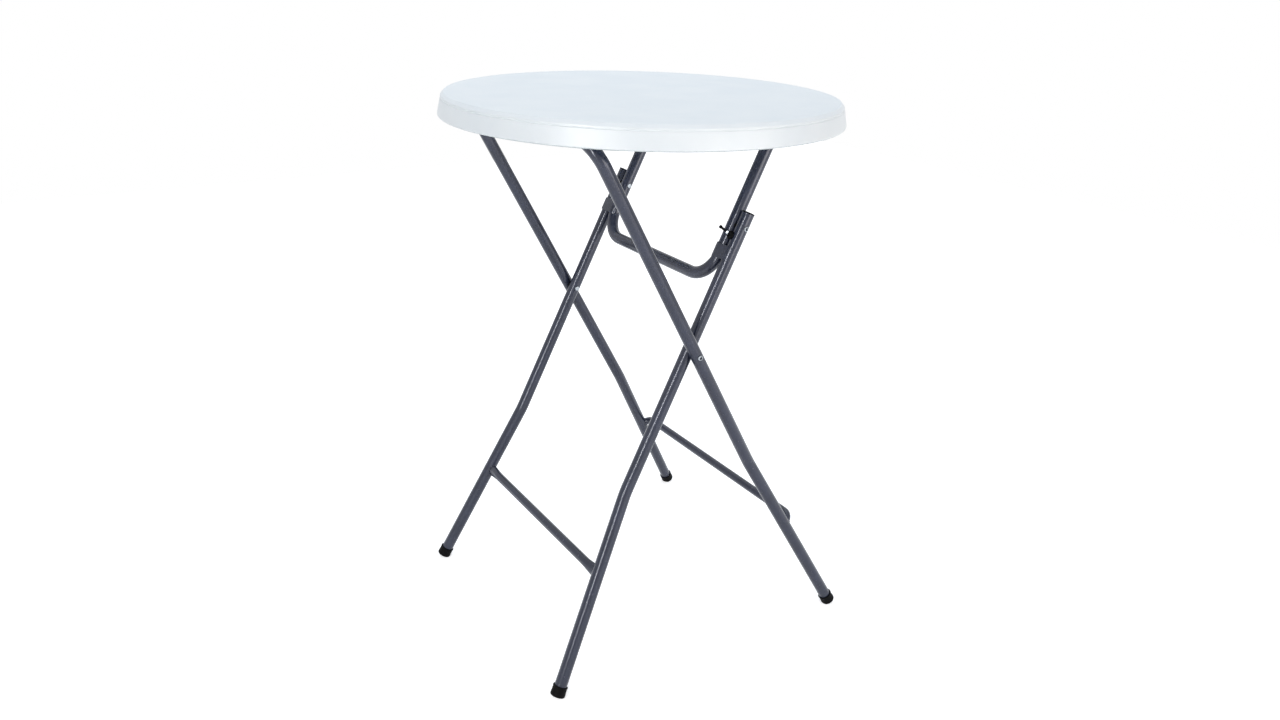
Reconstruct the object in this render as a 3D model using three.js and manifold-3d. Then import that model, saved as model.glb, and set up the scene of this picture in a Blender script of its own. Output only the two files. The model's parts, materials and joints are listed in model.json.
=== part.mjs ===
// Folding standing table: a round moulded top on a scissor frame of bent steel tube.
// Millimetres, +Z up, origin on the floor under the middle of the top.
// X lies in the plane in which the legs fold, Y runs along the pivots, the front is -Y.

import * as THREE from 'three';
import { mergeVertices } from 'three/addons/utils/BufferGeometryUtils.js';
import Module from 'manifold-3d';

const wasm = await Module();
wasm.setup();

// Top: overall sizes and the moulded rim
const tableHeight = 1100;
const topDiameter = 800;
const rimHeight = 44;
const plateThickness = 12;
const rimWidth = 15;
const rimDraft = 7;
const topEdgeRadius = 9;
const rimEdgeRadius = 3.5;
const recessDraft = 4;

// Tube stock of the frames and of the two crossbars
const tubeDiameter = 25;
const tubeWall = 1.2;
const barDiameter = 18;
const barWall = 1.2;

// Clearances: between fixed neighbours, round turning pieces, between tubes side by side
const fitGap = 0.3;
const turnGap = 0.4;
const sideGap = 3.5;
const cutOverrun = 10;

// Where the frame lines stand: pivots and legs in from the edge of the top, and the feet
const pivotGap = 11.5;
const outerPivotInset = 137.2;
const strutPivotInset = 211.5;
const outerSideInset = 149;
const outerFootX = 332;
const innerFootX = -337;
const outerSplayReach = 67;
const innerSplayReach = 57.5;
const outerSplayHeight = 372;
const innerSplayHeight = 364;
const splayBendRadius = 160;
const outerCornerRadius = 56;
const innerOverhang = 29;

// Crossbars
const outerBarHeight = 213;
const innerBarHeight = 219;
const outerBarClearance = 2;
const outerBarEndAngle = THREE.MathUtils.degToRad(62);
const outerBarBendRadius = 24;
const barPressLength = 42;
const barPressSpread = 3;
const barPressFlat = 3.2;

// Strut frame, the stops on it and its axle
const strutTail = 116.6;
const strutCornerRadius = 60;
const restDistance = 57;
const restLength = 28;
const restThickness = 2;
const restWrapAngle = THREE.MathUtils.degToRad(60);

// Feet and plugs
const footThickness = 2.1;
const footHeight = 21;
const footBase = 4;
const footEdgeRadius = 3;
const footSoleDepth = 2.5;
const plugFlange = 2.4;
const plugDepth = 14;
const axlePlugFlange = 1.2;

// Pivots of the frame
const pinDiameter = 8;
const rivetHeadDiameter = 10.5;
const rivetHeadHeight = 2.4;
const rivetTailHeight = 1.9;
const rivetRecessDiameter = 5.2;
const rivetRecessDepth = 1.2;
const washerDiameter = 16;

// Straps under the top and their screws
const strapThickness = 2;
const strapWidth = 24;
const strapFlangeLength = 20;
const strapInset = 16;
const screwDiameter = 4.2;
const screwDepth = 9;
const screwHeadDiameter = 8.4;
const screwHeadHeight = 2.4;
const screwRecessDiameter = 3.6;
const screwRecessDepth = 1.4;

// Latch: a lever on the front arm of the strut and its catch on the inner leg
const latchDistance = 19;
const latchTilt = THREE.MathUtils.degToRad(36);
const latchPinDiameter = 4;
const latchTailDiameter = 5.6;
const latchTailHeight = 1.2;
const latchHeadDiameter = 7.6;
const latchHeadHeight = 1.4;
const latchRecessDiameter = 3.8;
const latchRecessDepth = 0.8;
const leverThickness = 2.4;
const leverHubRadius = 4.4;
const leverTongueReach = 8.6;
const leverTongueWidth = 6;
const leverHandleReach = 17.5;
const leverHandleRise = 5;
const leverHandleWidth = 4;
const leverKnobHeight = 3.6;
const catchOffset = 21.5;
const catchDrop = 2.5;
const catchDiameter = 16.5;
const catchHeight = 6.5;
const catchEdge = 1;
const catchShankOffset = 25;
const catchShankDiameter = 4;
const catchShankDepth = 3;

// Facets: points round a half turn of a section, sides of a turned piece, steps in a bend
const tubeArcPoints = 8;
const barArcPoints = 6;
const pinSides = 16;
const topSides = 72;
const cornerSteps = 5;
const splaySteps = 2;
const edgeSteps = 2;
const weldTolerance = 1e-4;

// Worked out from the sizes above
const overTop = Math.PI / 2;
const tubeRadius = tubeDiameter / 2;
const barRadius = barDiameter / 2;
const pinRadius = pinDiameter / 2;
const topRadius = topDiameter / 2;
const undersideZ = tableHeight - plateThickness;
const pivotZ = undersideZ - pivotGap - tubeRadius;
const outerTopX = outerPivotInset - topRadius;
const strutTopX = topRadius - strutPivotInset;
const outerHalfWidth = topRadius - outerSideInset;
const innerHalfWidth = outerHalfWidth - tubeDiameter - sideGap;
const strutHalfWidth = innerHalfWidth - tubeDiameter - sideGap;
const outerFootHalfWidth = outerHalfWidth + outerSplayReach;
const innerFootHalfWidth = innerHalfWidth + innerSplayReach;

// The frame seen along Y: x across, y for height
const outerPivot = new THREE.Vector2(outerTopX, pivotZ);
const strutPivot = new THREE.Vector2(strutTopX, pivotZ);
const outerSlope = (outerTopX - outerFootX) / pivotZ;
const innerSlope = (strutTopX - innerFootX) / pivotZ;
const scissorZ = (outerFootX - innerFootX) / (innerSlope - outerSlope);
const scissorPivot = new THREE.Vector2(outerFootX + outerSlope * scissorZ, scissorZ);
const outerTilt = Math.atan(outerSlope);
const innerTilt = Math.atan(innerSlope);

// The strut is straight in line with the inner leg when the table stands. It lies flat under
// the top when folded if its joint divides the line so that both routes from pivot to pivot match.
const outerArm = outerPivot.distanceTo(scissorPivot);
const innerLine = strutPivot.distanceTo(scissorPivot);
const pivotSpread = outerPivot.distanceTo(strutPivot);
const scissorToFold = (innerLine + outerArm - pivotSpread) / 2;
const strutArm = innerLine - scissorToFold;

const finish = (color, roughness, metalness) => () => (
  new THREE.MeshStandardMaterial({ color, roughness, metalness })
);
const coatedSteel = finish(0x596069, 0.42, 0.35);
const whitePlastic = finish(0xe9eef1, 0.5, 0);
const blackPlastic = finish(0x131416, 0.5, 0);
const zincSteel = finish(0xb8bcc0, 0.3, 1);
const nylon = finish(0x1c1d1f, 0.6, 0);

// Straight runs joined by round bends; every station carries a point and a direction.
class BentRoute extends THREE.Curve {
  constructor(corners, radii, steps) {
    super();
    this.stations = [];
    corners.forEach((corner, i) => {
      const before = corners[i - 1] ?? corner;
      const after = corners[i + 1] ?? corner;
      if (before === corner || after === corner) {
        this.stations.push({ point: corner, tangent: after.clone().sub(before).normalize() });
      } else {
        this.addBend(before, corner, after, radii[i - 1], steps[i - 1]);
      }
    });
  }

  addBend(before, corner, after, radius, steps) {
    const inward = corner.clone().sub(before).normalize();
    const outward = after.clone().sub(corner).normalize();
    const angle = inward.angleTo(outward);
    const axis = inward.clone().cross(outward).normalize();
    const start = corner.clone().addScaledVector(inward, -radius * Math.tan(angle / 2));
    const centre = start.clone().addScaledVector(axis.clone().cross(inward), radius);
    for (let step = 0; step <= steps; step++) {
      const turn = (angle * step) / steps;
      const point = start.clone().sub(centre).applyAxisAngle(axis, turn).add(centre);
      this.stations.push({ point, tangent: inward.clone().applyAxisAngle(axis, turn) });
    }
  }

  getPoint(t, target = new THREE.Vector3()) {
    const place = t * (this.stations.length - 1);
    const low = Math.min(Math.floor(place), this.stations.length - 2);
    return target.lerpVectors(this.stations[low].point, this.stations[low + 1].point, place - low);
  }

  getPointAt(u, target) {
    return this.getPoint(u, target);
  }

  getTangentAt(u, target = new THREE.Vector3()) {
    return target.copy(this.stations[Math.round(u * (this.stations.length - 1))].tangent);
  }
}

// A round section swept along a route, hollow when it has a wall.
function tube(route, radius, wall, arcPoints = tubeArcPoints) {
  const section = new THREE.Shape().absarc(0, 0, radius, 0, 2 * Math.PI);
  if (wall) section.holes.push(new THREE.Path().absarc(0, 0, radius - wall, 0, 2 * Math.PI, true));
  return new THREE.ExtrudeGeometry(section, {
    steps: route.stations.length - 1,
    extrudePath: route,
    curveSegments: arcPoints,
  });
}

// A piece turned on a lathe; its axis is the local Y axis and the profile runs from low to high.
function turned(profile, sides = pinSides) {
  return new THREE.LatheGeometry(profile.map(([radius, along]) => new THREE.Vector2(radius, along)), sides);
}

function cylinderY(radius, length, sides = pinSides) {
  return new THREE.CylinderGeometry(radius, radius, length, sides);
}

function toSolid(geometry) {
  const bare = geometry.clone();
  bare.deleteAttribute('normal');
  bare.deleteAttribute('uv');
  const welded = mergeVertices(bare, weldTolerance);
  return new wasm.Manifold(new wasm.Mesh({
    numProp: 3,
    vertProperties: Float32Array.from(welded.attributes.position.array),
    triVerts: Uint32Array.from(welded.index.array),
  }));
}

function toGeometry(solid) {
  const { vertProperties, triVerts } = solid.getMesh();
  const shared = new THREE.BufferGeometry();
  shared.setAttribute('position', new THREE.BufferAttribute(vertProperties, 3));
  shared.setIndex(new THREE.BufferAttribute(triVerts, 1));
  const geometry = shared.toNonIndexed();
  geometry.computeVertexNormals();
  return geometry;
}

function cut(geometry, ...cutters) {
  return toGeometry(cutters.reduce((solid, cutter) => solid.subtract(toSolid(cutter)), toSolid(geometry)));
}

function join(...geometries) {
  const [first, ...others] = geometries.map(toSolid);
  return toGeometry(others.reduce((solid, other) => solid.add(other), first));
}

function piece(name, geometry, material) {
  const mesh = new THREE.Mesh(geometry, material);
  mesh.name = name;
  return mesh;
}

// A frame group: its origin is on a pivot and its Z axis runs up along the tubes.
function frameGroup(pivot, tilt) {
  const group = new THREE.Group();
  group.position.set(pivot.x, 0, pivot.y);
  group.rotation.y = tilt;
  group.updateMatrixWorld(true);
  return group;
}

const sides = [['front', -1], ['rear', 1]];
const table = new THREE.Group();
const outerFrame = frameGroup(outerPivot, outerTilt);
const innerFrame = frameGroup(scissorPivot, innerTilt);
const strutFrame = frameGroup(strutPivot, innerTilt);
table.add(outerFrame, innerFrame, strutFrame);

// Distance along a tilted frame that covers a height
const alongOuter = (height) => height / Math.cos(outerTilt);
const alongInner = (height) => height / Math.cos(innerTilt);

// Legs: straight from the top, then splayed outward below the bend
const outerSplay = new THREE.Vector3(0, outerHalfWidth, -alongOuter(pivotZ - outerSplayHeight));
const outerFloor = new THREE.Vector3(0, outerFootHalfWidth, -alongOuter(pivotZ));
const innerSplay = new THREE.Vector3(0, innerHalfWidth, -alongInner(scissorZ - innerSplayHeight));
const innerFloor = new THREE.Vector3(0, innerFootHalfWidth, -alongInner(scissorZ));

const mirrored = (point, sign) => new THREE.Vector3(point.x, sign * point.y, point.z);
const splayWay = (splay, floor) => floor.clone().sub(splay).normalize();

// A foot stands on the lowest edge of its round cap, which is worn to a small flat. This is how far
// the middle of the cap's base lies up the leg from the floor.
function footLift(splay, floor, frame) {
  const upright = -splayWay(splay, floor).z * Math.cos(frame.rotation.y);
  const leaning = Math.sqrt(1 - upright * upright);
  const edgeCentre = tubeRadius + fitGap + footThickness - footEdgeRadius;
  return (edgeCentre * leaning + footEdgeRadius - footSoleDepth) / upright - footEdgeRadius;
}

function tubeEnd(splay, floor, frame) {
  const lift = footLift(splay, floor, frame) + footBase + fitGap;
  return floor.clone().addScaledVector(splayWay(splay, floor), -lift);
}

function outerRoute(end) {
  const corner = new THREE.Vector3(0, outerHalfWidth, 0);
  const half = [end, outerSplay, corner];
  return new BentRoute(
    [...half.map((point) => mirrored(point, -1)), ...half.reverse()],
    [splayBendRadius, outerCornerRadius, outerCornerRadius, splayBendRadius],
    [splaySteps, cornerSteps, cornerSteps, splaySteps],
  );
}

function innerRoute(sign, end) {
  const top = new THREE.Vector3(0, innerHalfWidth, scissorToFold + innerOverhang);
  const corners = [end, innerSplay, top].map((point) => mirrored(point, sign));
  return new BentRoute(corners, [splayBendRadius], [splaySteps]);
}

// The latch is drawn as seen square to the front tubes: u runs out from the middle of the table,
// v runs up along the tube and heights are measured off the tube axes.
const offTubes = new THREE.Matrix4().makeBasis(
  new THREE.Vector3(0, -1, 0),
  new THREE.Vector3(0, 0, 1),
  new THREE.Vector3(-1, 0, 0),
);

function slab(shape, low, high) {
  const block = new THREE.ExtrudeGeometry(shape, {
    depth: high - low, bevelEnabled: false, curveSegments: tubeArcPoints,
  });
  return block.translate(0, 0, low).applyMatrix4(offTubes);
}

const discShape = (u, v, radius) => new THREE.Shape().absarc(u, v, radius, 0, 2 * Math.PI);

// A turned piece that stands square to the tubes at the front
const standing = (profile) => turned(profile).rotateZ(overTop);

// The lever is tilted about the strut arm, so that it faces the user.
const latchAlong = -strutArm - latchDistance;
function onStrut(geometry) {
  return geometry.rotateZ(latchTilt).translate(0, -strutHalfWidth, latchAlong);
}

const onInnerLeg = (geometry) => geometry.translate(0, 0, scissorToFold - latchDistance - catchDrop);

// Holes for a pivot pin through the walls of both sides of a frame
function pinHoles(along, halfWidth) {
  return cylinderY(pinRadius + fitGap, 2 * (halfWidth + tubeDiameter)).translate(0, 0, along);
}

const outerEnd = tubeEnd(outerSplay, outerFloor, outerFrame);
const outerTube = tube(outerRoute(outerEnd), tubeRadius, tubeWall);
const outerHoles = pinHoles(-outerArm, outerHalfWidth);
outerFrame.add(piece('outer_leg_frame', cut(outerTube, outerHoles), coatedSteel()));

const innerEnd = tubeEnd(innerSplay, innerFloor, innerFrame);
const innerHoles = [pinHoles(0, innerHalfWidth), pinHoles(scissorToFold, innerHalfWidth)];
const catchShankU = strutHalfWidth + catchShankOffset;
const catchHole = onInnerLeg(
  slab(discShape(catchShankU, 0, catchShankDiameter / 2 + fitGap), 0, tubeRadius + cutOverrun),
);
for (const [side, sign] of sides) {
  const leg = tube(innerRoute(sign, innerEnd), tubeRadius, tubeWall);
  innerFrame.add(piece(`inner_leg_${side}`, cut(leg, ...innerHoles, catchHole), coatedSteel()));
}

// How far a splayed leg stands out at a place along its frame
function halfWidthAt(splay, floor, along) {
  return splay.y + ((floor.y - splay.y) * (splay.z - along)) / (splay.z - floor.z);
}

// The outer crossbar passes over the inner legs when folded, so only its ends come down to the legs.
const outerBarAlong = -alongOuter(pivotZ - outerBarHeight);
const outerBarReach = halfWidthAt(outerSplay, outerFloor, outerBarAlong);
const outerBarOffset = tubeRadius + barRadius + outerBarClearance;
const outerBarBend = outerBarReach - outerBarOffset / Math.tan(outerBarEndAngle);
const outerBarHalf = [
  new THREE.Vector3(0, outerBarReach, outerBarAlong),
  new THREE.Vector3(outerBarOffset, outerBarBend, outerBarAlong),
];
const outerBarRoute = new BentRoute(
  [...outerBarHalf.map((point) => mirrored(point, -1)), ...outerBarHalf.reverse()],
  [outerBarBendRadius, outerBarBendRadius],
  [cornerSteps, cornerSteps],
);
const outerBarSeat = tube(outerRoute(outerFloor), tubeRadius + fitGap, 0);
outerFrame.add(piece(
  'outer_crossbar',
  cut(tube(outerBarRoute, barRadius, barWall, barArcPoints), outerBarSeat),
  coatedSteel(),
));

// The inner crossbar is straight; its ends are pressed flat where they are welded to the legs.
const innerBarAlong = -alongInner(scissorZ - innerBarHeight);
const innerBarReach = halfWidthAt(innerSplay, innerFloor, innerBarAlong);
const innerBarPressShares = [0, 0.25, 0.5, 0.75, 1];
const innerBarHalf = innerBarPressShares.map((share) => (
  new THREE.Vector3(0, innerBarReach - share * (barPressLength + tubeRadius), innerBarAlong)
));
const innerBarStations = [...innerBarHalf.map((point) => mirrored(point, -1)), ...innerBarHalf.reverse()];
const innerBarRoute = new BentRoute([innerBarStations.at(0), innerBarStations.at(-1)], [], []);
innerBarRoute.stations = innerBarStations.map((point) => ({ point, tangent: new THREE.Vector3(0, 1, 0) }));

function pressEnds(geometry) {
  const position = geometry.attributes.position;
  const pressStart = innerBarReach - tubeRadius - barPressLength;
  for (let i = 0; i < position.count; i++) {
    const reach = Math.abs(position.getY(i));
    const pressed = THREE.MathUtils.smoothstep(reach, pressStart, innerBarReach - tubeRadius);
    const flatten = 1 - (pressed * barPressFlat) / barRadius;
    const spread = 1 + (pressed * barPressSpread) / barRadius;
    position.setX(i, position.getX(i) * flatten);
    position.setZ(i, innerBarAlong + (position.getZ(i) - innerBarAlong) * spread);
  }
  return geometry;
}

const innerBarSeats = sides.map(([, sign]) => tube(innerRoute(sign, innerFloor), tubeRadius + fitGap, 0));
innerFrame.add(piece(
  'inner_crossbar',
  cut(pressEnds(tube(innerBarRoute, barRadius, barWall, barArcPoints)), ...innerBarSeats),
  coatedSteel(),
));

// Feet: a round cap over the tube end, cut level with the floor
function footCap(splay, floor, frame) {
  const way = splayWay(splay, floor).negate();
  const bore = tubeRadius + fitGap;
  const outside = bore + footThickness;
  const edge = new THREE.Path().absarc(
    outside - footEdgeRadius, footEdgeRadius, footEdgeRadius, -overTop, 0, false,
  );
  const cap = turned([
    [0, 0],
    ...edge.getPoints(edgeSteps).map((point) => point.toArray()),
    [outside, footHeight],
    [bore, footHeight],
    [bore, footBase],
    [0, footBase],
  ], 2 * tubeArcPoints);
  cap.applyQuaternion(new THREE.Quaternion().setFromUnitVectors(new THREE.Vector3(0, 1, 0), way));
  const base = floor.clone().addScaledVector(way, footLift(splay, floor, frame));
  cap.translate(base.x, base.y, base.z);
  const ground = new THREE.BoxGeometry(topDiameter, topDiameter, tableHeight);
  const footX = frame.position.x + Math.sin(frame.rotation.y) * floor.z;
  ground.translate(footX, 0, -tableHeight / 2);
  ground.applyMatrix4(frame.matrixWorld.clone().invert());
  return cut(cap, ground);
}

for (const [side, sign] of sides) {
  const outerFoot = footCap(mirrored(outerSplay, sign), mirrored(outerFloor, sign), outerFrame);
  outerFrame.add(piece(`outer_foot_${side}`, outerFoot, blackPlastic()));
  const innerFoot = footCap(mirrored(innerSplay, sign), mirrored(innerFloor, sign), innerFrame);
  innerFrame.add(piece(`inner_foot_${side}`, innerFoot, blackPlastic()));
}

// A plug pressed into an open tube end; it points up along local Y.
function endPlug(flange) {
  const stem = tubeRadius - tubeWall - fitGap;
  return turned([
    [0, -plugDepth],
    [stem, -plugDepth],
    [stem, fitGap],
    [tubeRadius, fitGap],
    [tubeRadius, fitGap + flange],
    [0, fitGap + flange],
  ], 2 * tubeArcPoints);
}

for (const [side, sign] of sides) {
  const plug = endPlug(plugFlange).rotateX(overTop);
  plug.translate(0, sign * innerHalfWidth, scissorToFold + innerOverhang);
  innerFrame.add(piece(`inner_plug_${side}`, plug, blackPlastic()));
}

// Turns a piece made for the rear side so that it also serves the front side.
const toSide = (geometry, sign) => (sign > 0 ? geometry : geometry.rotateZ(Math.PI));

// A washer that fills the gap beside a tube face
function spacer(face) {
  const low = face + fitGap;
  const high = face + sideGap - fitGap;
  return turned([
    [pinRadius + fitGap, low],
    [washerDiameter / 2, low],
    [washerDiameter / 2, high],
    [pinRadius + fitGap, high],
    [pinRadius + fitGap, low],
  ]);
}

// Scissor pivots: a hollow-headed rivet through the outer and the inner leg, with a washer between
for (const [side, sign] of sides) {
  const outside = outerHalfWidth + tubeRadius + fitGap;
  const inside = innerHalfWidth - tubeRadius - fitGap;
  const rivet = turned([
    [0, inside - rivetTailHeight],
    [rivetHeadDiameter / 2, inside - rivetTailHeight],
    [rivetHeadDiameter / 2, inside],
    [pinRadius, inside],
    [pinRadius, outside],
    [rivetHeadDiameter / 2, outside],
    [rivetHeadDiameter / 2, outside + rivetHeadHeight / 2],
    [(rivetHeadDiameter + rivetRecessDiameter) / 4, outside + rivetHeadHeight],
    [rivetRecessDiameter / 2, outside + rivetHeadHeight],
    [rivetRecessDiameter / 2, outside + rivetHeadHeight - rivetRecessDepth],
    [0, outside + rivetHeadHeight - rivetRecessDepth],
  ]);
  const placed = toSide(rivet, sign).translate(0, 0, -outerArm);
  outerFrame.add(piece(`scissor_rivet_${side}`, placed, zincSteel()));
  const washer = toSide(spacer(innerHalfWidth + tubeRadius), sign).translate(0, 0, -outerArm);
  outerFrame.add(piece(`scissor_washer_${side}`, washer, nylon()));
}

// Fold pivots: a bolt in the inner leg meets a sleeve nut in the strut face to face.
for (const [side, sign] of sides) {
  const outside = innerHalfWidth + tubeRadius + fitGap;
  const meeting = strutHalfWidth + tubeRadius;
  const bolt = turned([
    [0, meeting + fitGap],
    [pinRadius, meeting + fitGap],
    [pinRadius, outside],
    [rivetHeadDiameter / 2, outside],
    [rivetHeadDiameter / 2, outside + rivetTailHeight],
    [rivetRecessDiameter / 2, outside + rivetTailHeight],
    [rivetRecessDiameter / 2, outside + rivetTailHeight - rivetRecessDepth],
    [0, outside + rivetTailHeight - rivetRecessDepth],
  ]);
  const placedBolt = toSide(bolt, sign).translate(0, 0, scissorToFold);
  innerFrame.add(piece(`fold_bolt_${side}`, placedBolt, zincSteel()));
  const washer = toSide(spacer(meeting), sign).translate(0, 0, scissorToFold);
  innerFrame.add(piece(`fold_washer_${side}`, washer, nylon()));
  const inside = strutHalfWidth - tubeRadius - fitGap;
  const nut = turned([
    [0, inside - rivetTailHeight],
    [rivetHeadDiameter / 2, inside - rivetTailHeight],
    [rivetHeadDiameter / 2, inside],
    [pinRadius, inside],
    [pinRadius, meeting],
    [0, meeting],
  ]);
  strutFrame.add(piece(`fold_nut_${side}`, toSide(nut, sign).translate(0, 0, -strutArm), zincSteel()));
}

// Strut: a U of tube whose arms end on an axle tube under the top
const strutCorner = new THREE.Vector3(0, strutHalfWidth, -strutArm - strutTail);
const strutTop = new THREE.Vector3(0, strutHalfWidth, 0);
const strutRoute = new BentRoute(
  [mirrored(strutTop, -1), mirrored(strutCorner, -1), strutCorner, strutTop],
  [strutCornerRadius, strutCornerRadius],
  [cornerSteps, cornerSteps],
);
const strutSeat = cylinderY(tubeRadius + fitGap, topDiameter, 2 * tubeArcPoints);
const strutHoles = pinHoles(-strutArm, strutHalfWidth);
const latchHoleShape = discShape(0, 0, latchPinDiameter / 2 + fitGap);
const latchHole = onStrut(slab(latchHoleShape, 0, tubeRadius + cutOverrun));
const strutTube = cut(tube(strutRoute, tubeRadius, tubeWall), strutSeat, strutHoles, latchHole);
strutFrame.add(piece('strut_frame', strutTube, coatedSteel()));

const axleEnd = strutHalfWidth + tubeRadius;
const axleEnds = [new THREE.Vector3(0, -axleEnd, 0), new THREE.Vector3(0, axleEnd, 0)];
const axleRoute = new BentRoute(axleEnds, [], []);
strutFrame.add(piece('strut_axle', tube(axleRoute, tubeRadius, tubeWall), coatedSteel()));
for (const [side, sign] of sides) {
  const plug = endPlug(axlePlugFlange).translate(0, axleEnd, 0);
  strutFrame.add(piece(`strut_plug_${side}`, toSide(plug, sign), blackPlastic()));
}

// Plates welded over the strut are drawn in a plane across the tubes and extruded along them:
// u is the distance out from the middle of the table, v the height above the tube axes.
const acrossTubes = (sign) => new THREE.Matrix4().makeBasis(
  new THREE.Vector3(0, sign, 0),
  new THREE.Vector3(-1, 0, 0),
  new THREE.Vector3(0, 0, sign),
);

function strutPlate(shape, length, along, sign) {
  const plate = new THREE.ExtrudeGeometry(shape, {
    depth: length, bevelEnabled: false, curveSegments: tubeArcPoints / 2,
  });
  plate.translate(0, 0, -length / 2);
  return plate.applyMatrix4(acrossTubes(sign)).translate(0, 0, along);
}

// Rest: it reaches across from the strut and stops on the upper side of the inner leg.
function restShape() {
  const inner = tubeRadius + fitGap;
  const outer = inner + restThickness;
  const shape = new THREE.Shape();
  shape.absarc(strutHalfWidth, 0, inner, overTop + restWrapAngle, overTop, true);
  shape.absarc(innerHalfWidth, 0, inner, overTop, overTop - restWrapAngle, true);
  shape.absarc(innerHalfWidth, 0, outer, overTop - restWrapAngle, overTop, false);
  shape.absarc(strutHalfWidth, 0, outer, overTop, overTop + restWrapAngle, false);
  shape.closePath();
  return shape;
}

const restSeat = tube(strutRoute, tubeRadius + fitGap, 0);
for (const [side, sign] of sides) {
  const rest = strutPlate(restShape(), restLength, -strutArm - restDistance, sign);
  strutFrame.add(piece(`strut_rest_${side}`, cut(rest, restSeat), coatedSteel()));
}

// A straight bar of one width between two points
function barShape(from, to, width) {
  const across = to.clone().sub(from).rotateAround(new THREE.Vector2(), overTop).setLength(width / 2);
  return new THREE.Shape([
    from.clone().sub(across),
    to.clone().sub(across),
    to.clone().add(across),
    from.clone().add(across),
  ]);
}

// Latch, at the front only: a lever on a rivet through the wall of the strut arm. Its tongue
// lies under the overhanging edge of the catch and comes free when the lever is turned.
const leverBase = tubeRadius + fitGap;
const leverTop = leverBase + leverThickness;

function latchLever() {
  const pivot = new THREE.Vector2();
  const tongue = new THREE.Vector2(leverTongueReach, 0);
  const handle = new THREE.Vector2(-leverHandleReach, leverHandleRise);
  const body = join(
    slab(discShape(0, 0, leverHubRadius), leverBase, leverTop),
    slab(barShape(pivot, tongue, leverTongueWidth), leverBase, leverTop),
    slab(barShape(pivot, handle, leverHandleWidth), leverBase, leverTop),
    slab(discShape(handle.x, handle.y, leverHandleWidth / 2), leverBase, leverBase + leverKnobHeight),
  );
  const bore = slab(latchHoleShape, leverBase - cutOverrun, leverTop + cutOverrun);
  return onStrut(cut(body, bore));
}

function latchRivet() {
  const pin = latchPinDiameter / 2;
  const tail = latchTailDiameter / 2;
  const head = latchHeadDiameter / 2;
  const recess = latchRecessDiameter / 2;
  const wallInside = Math.sqrt((tubeRadius - tubeWall) ** 2 - tail ** 2) - fitGap;
  const headLow = leverTop + fitGap;
  const headHigh = headLow + latchHeadHeight;
  return onStrut(standing([
    [0, wallInside - latchTailHeight],
    [tail, wallInside - latchTailHeight],
    [tail, wallInside],
    [pin, wallInside],
    [pin, headLow],
    [head, headLow],
    [head, headHigh - latchRecessDepth],
    [head - latchRecessDepth, headHigh],
    [recess, headHigh],
    [recess, headHigh - latchRecessDepth],
    [0, headHigh - latchRecessDepth],
  ]));
}

// The catch stands on the shoulder of the inner leg with its edge over the gap beside the strut.
function latchCatch() {
  const catchU = strutHalfWidth + catchOffset;
  const radius = catchDiameter / 2;
  const underU = catchU - radius;
  const slope = Math.tan(latchTilt);
  const tongueHeight = leverTop / Math.cos(latchTilt) - (underU - strutHalfWidth) * slope;
  const low = tongueHeight + turnGap;
  const high = low + catchHeight;
  const button = standing([
    [0, low],
    [radius, low],
    [radius, high - catchEdge],
    [radius - catchEdge, high],
    [0, high],
  ]).translate(0, -catchU, 0);
  const legSurface = cylinderY(leverBase, topDiameter, 2 * tubeArcPoints).rotateX(overTop);
  const seated = cut(button, legSurface.translate(0, -innerHalfWidth, 0));
  const shankShape = discShape(catchShankU, 0, catchShankDiameter / 2);
  const shank = slab(shankShape, low - catchShankDepth, high - catchEdge);
  return onInnerLeg(join(seated, shank));
}

strutFrame.add(piece('latch_lever', latchLever(), blackPlastic()));
strutFrame.add(piece('latch_rivet', latchRivet(), zincSteel()));
innerFrame.add(piece('latch_catch', latchCatch(), blackPlastic()));

// Top: a moulded plate; its rim hangs down round a recess for the pivots.
const strapY = strutHalfWidth - tubeRadius - strapInset;
const screwReach = tubeRadius + turnGap + strapThickness + strapFlangeLength / 2;
const strapPlaces = [['outer', outerPivot], ['strut', strutPivot]].flatMap(([owner, pivot]) => (
  sides.map(([side, sign]) => ({ owner, side, x: pivot.x, y: sign * strapY }))
));
const screwPlaces = strapPlaces.flatMap((place) => (
  [['left', -1], ['right', 1]].map(([end, way]) => ({ ...place, end, x: place.x + way * screwReach }))
));

function topGeometry() {
  const rimZ = tableHeight - rimHeight;
  const edgeX = topRadius - rimDraft - topEdgeRadius;
  const outerRimX = topRadius - rimEdgeRadius;
  const innerRimX = topRadius - rimWidth + rimEdgeRadius;
  const outline = new THREE.Path();
  outline.moveTo(0, undersideZ);
  outline.lineTo(topRadius - rimWidth - recessDraft, undersideZ);
  outline.absarc(innerRimX, rimZ + rimEdgeRadius, rimEdgeRadius, Math.PI, 3 * overTop, false);
  outline.absarc(outerRimX, rimZ + rimEdgeRadius, rimEdgeRadius, -overTop, 0, false);
  outline.absarc(edgeX, tableHeight - topEdgeRadius, topEdgeRadius, 0, overTop, false);
  outline.lineTo(0, tableHeight);
  return new THREE.LatheGeometry(outline.getPoints(edgeSteps), topSides).rotateX(overTop);
}

// A hole along Z that ends at a given height
function holeUpTo(x, y, high) {
  const length = screwDepth + cutOverrun;
  const hole = cylinderY(screwDiameter / 2 + fitGap, length, pinSides / 2).rotateX(overTop);
  return hole.translate(x, y, high - length / 2);
}

const topHoles = screwPlaces.map(({ x, y }) => holeUpTo(x, y, undersideZ + screwDepth + fitGap));
table.add(piece('tabletop', cut(topGeometry(), ...topHoles), whitePlastic()));

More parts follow.
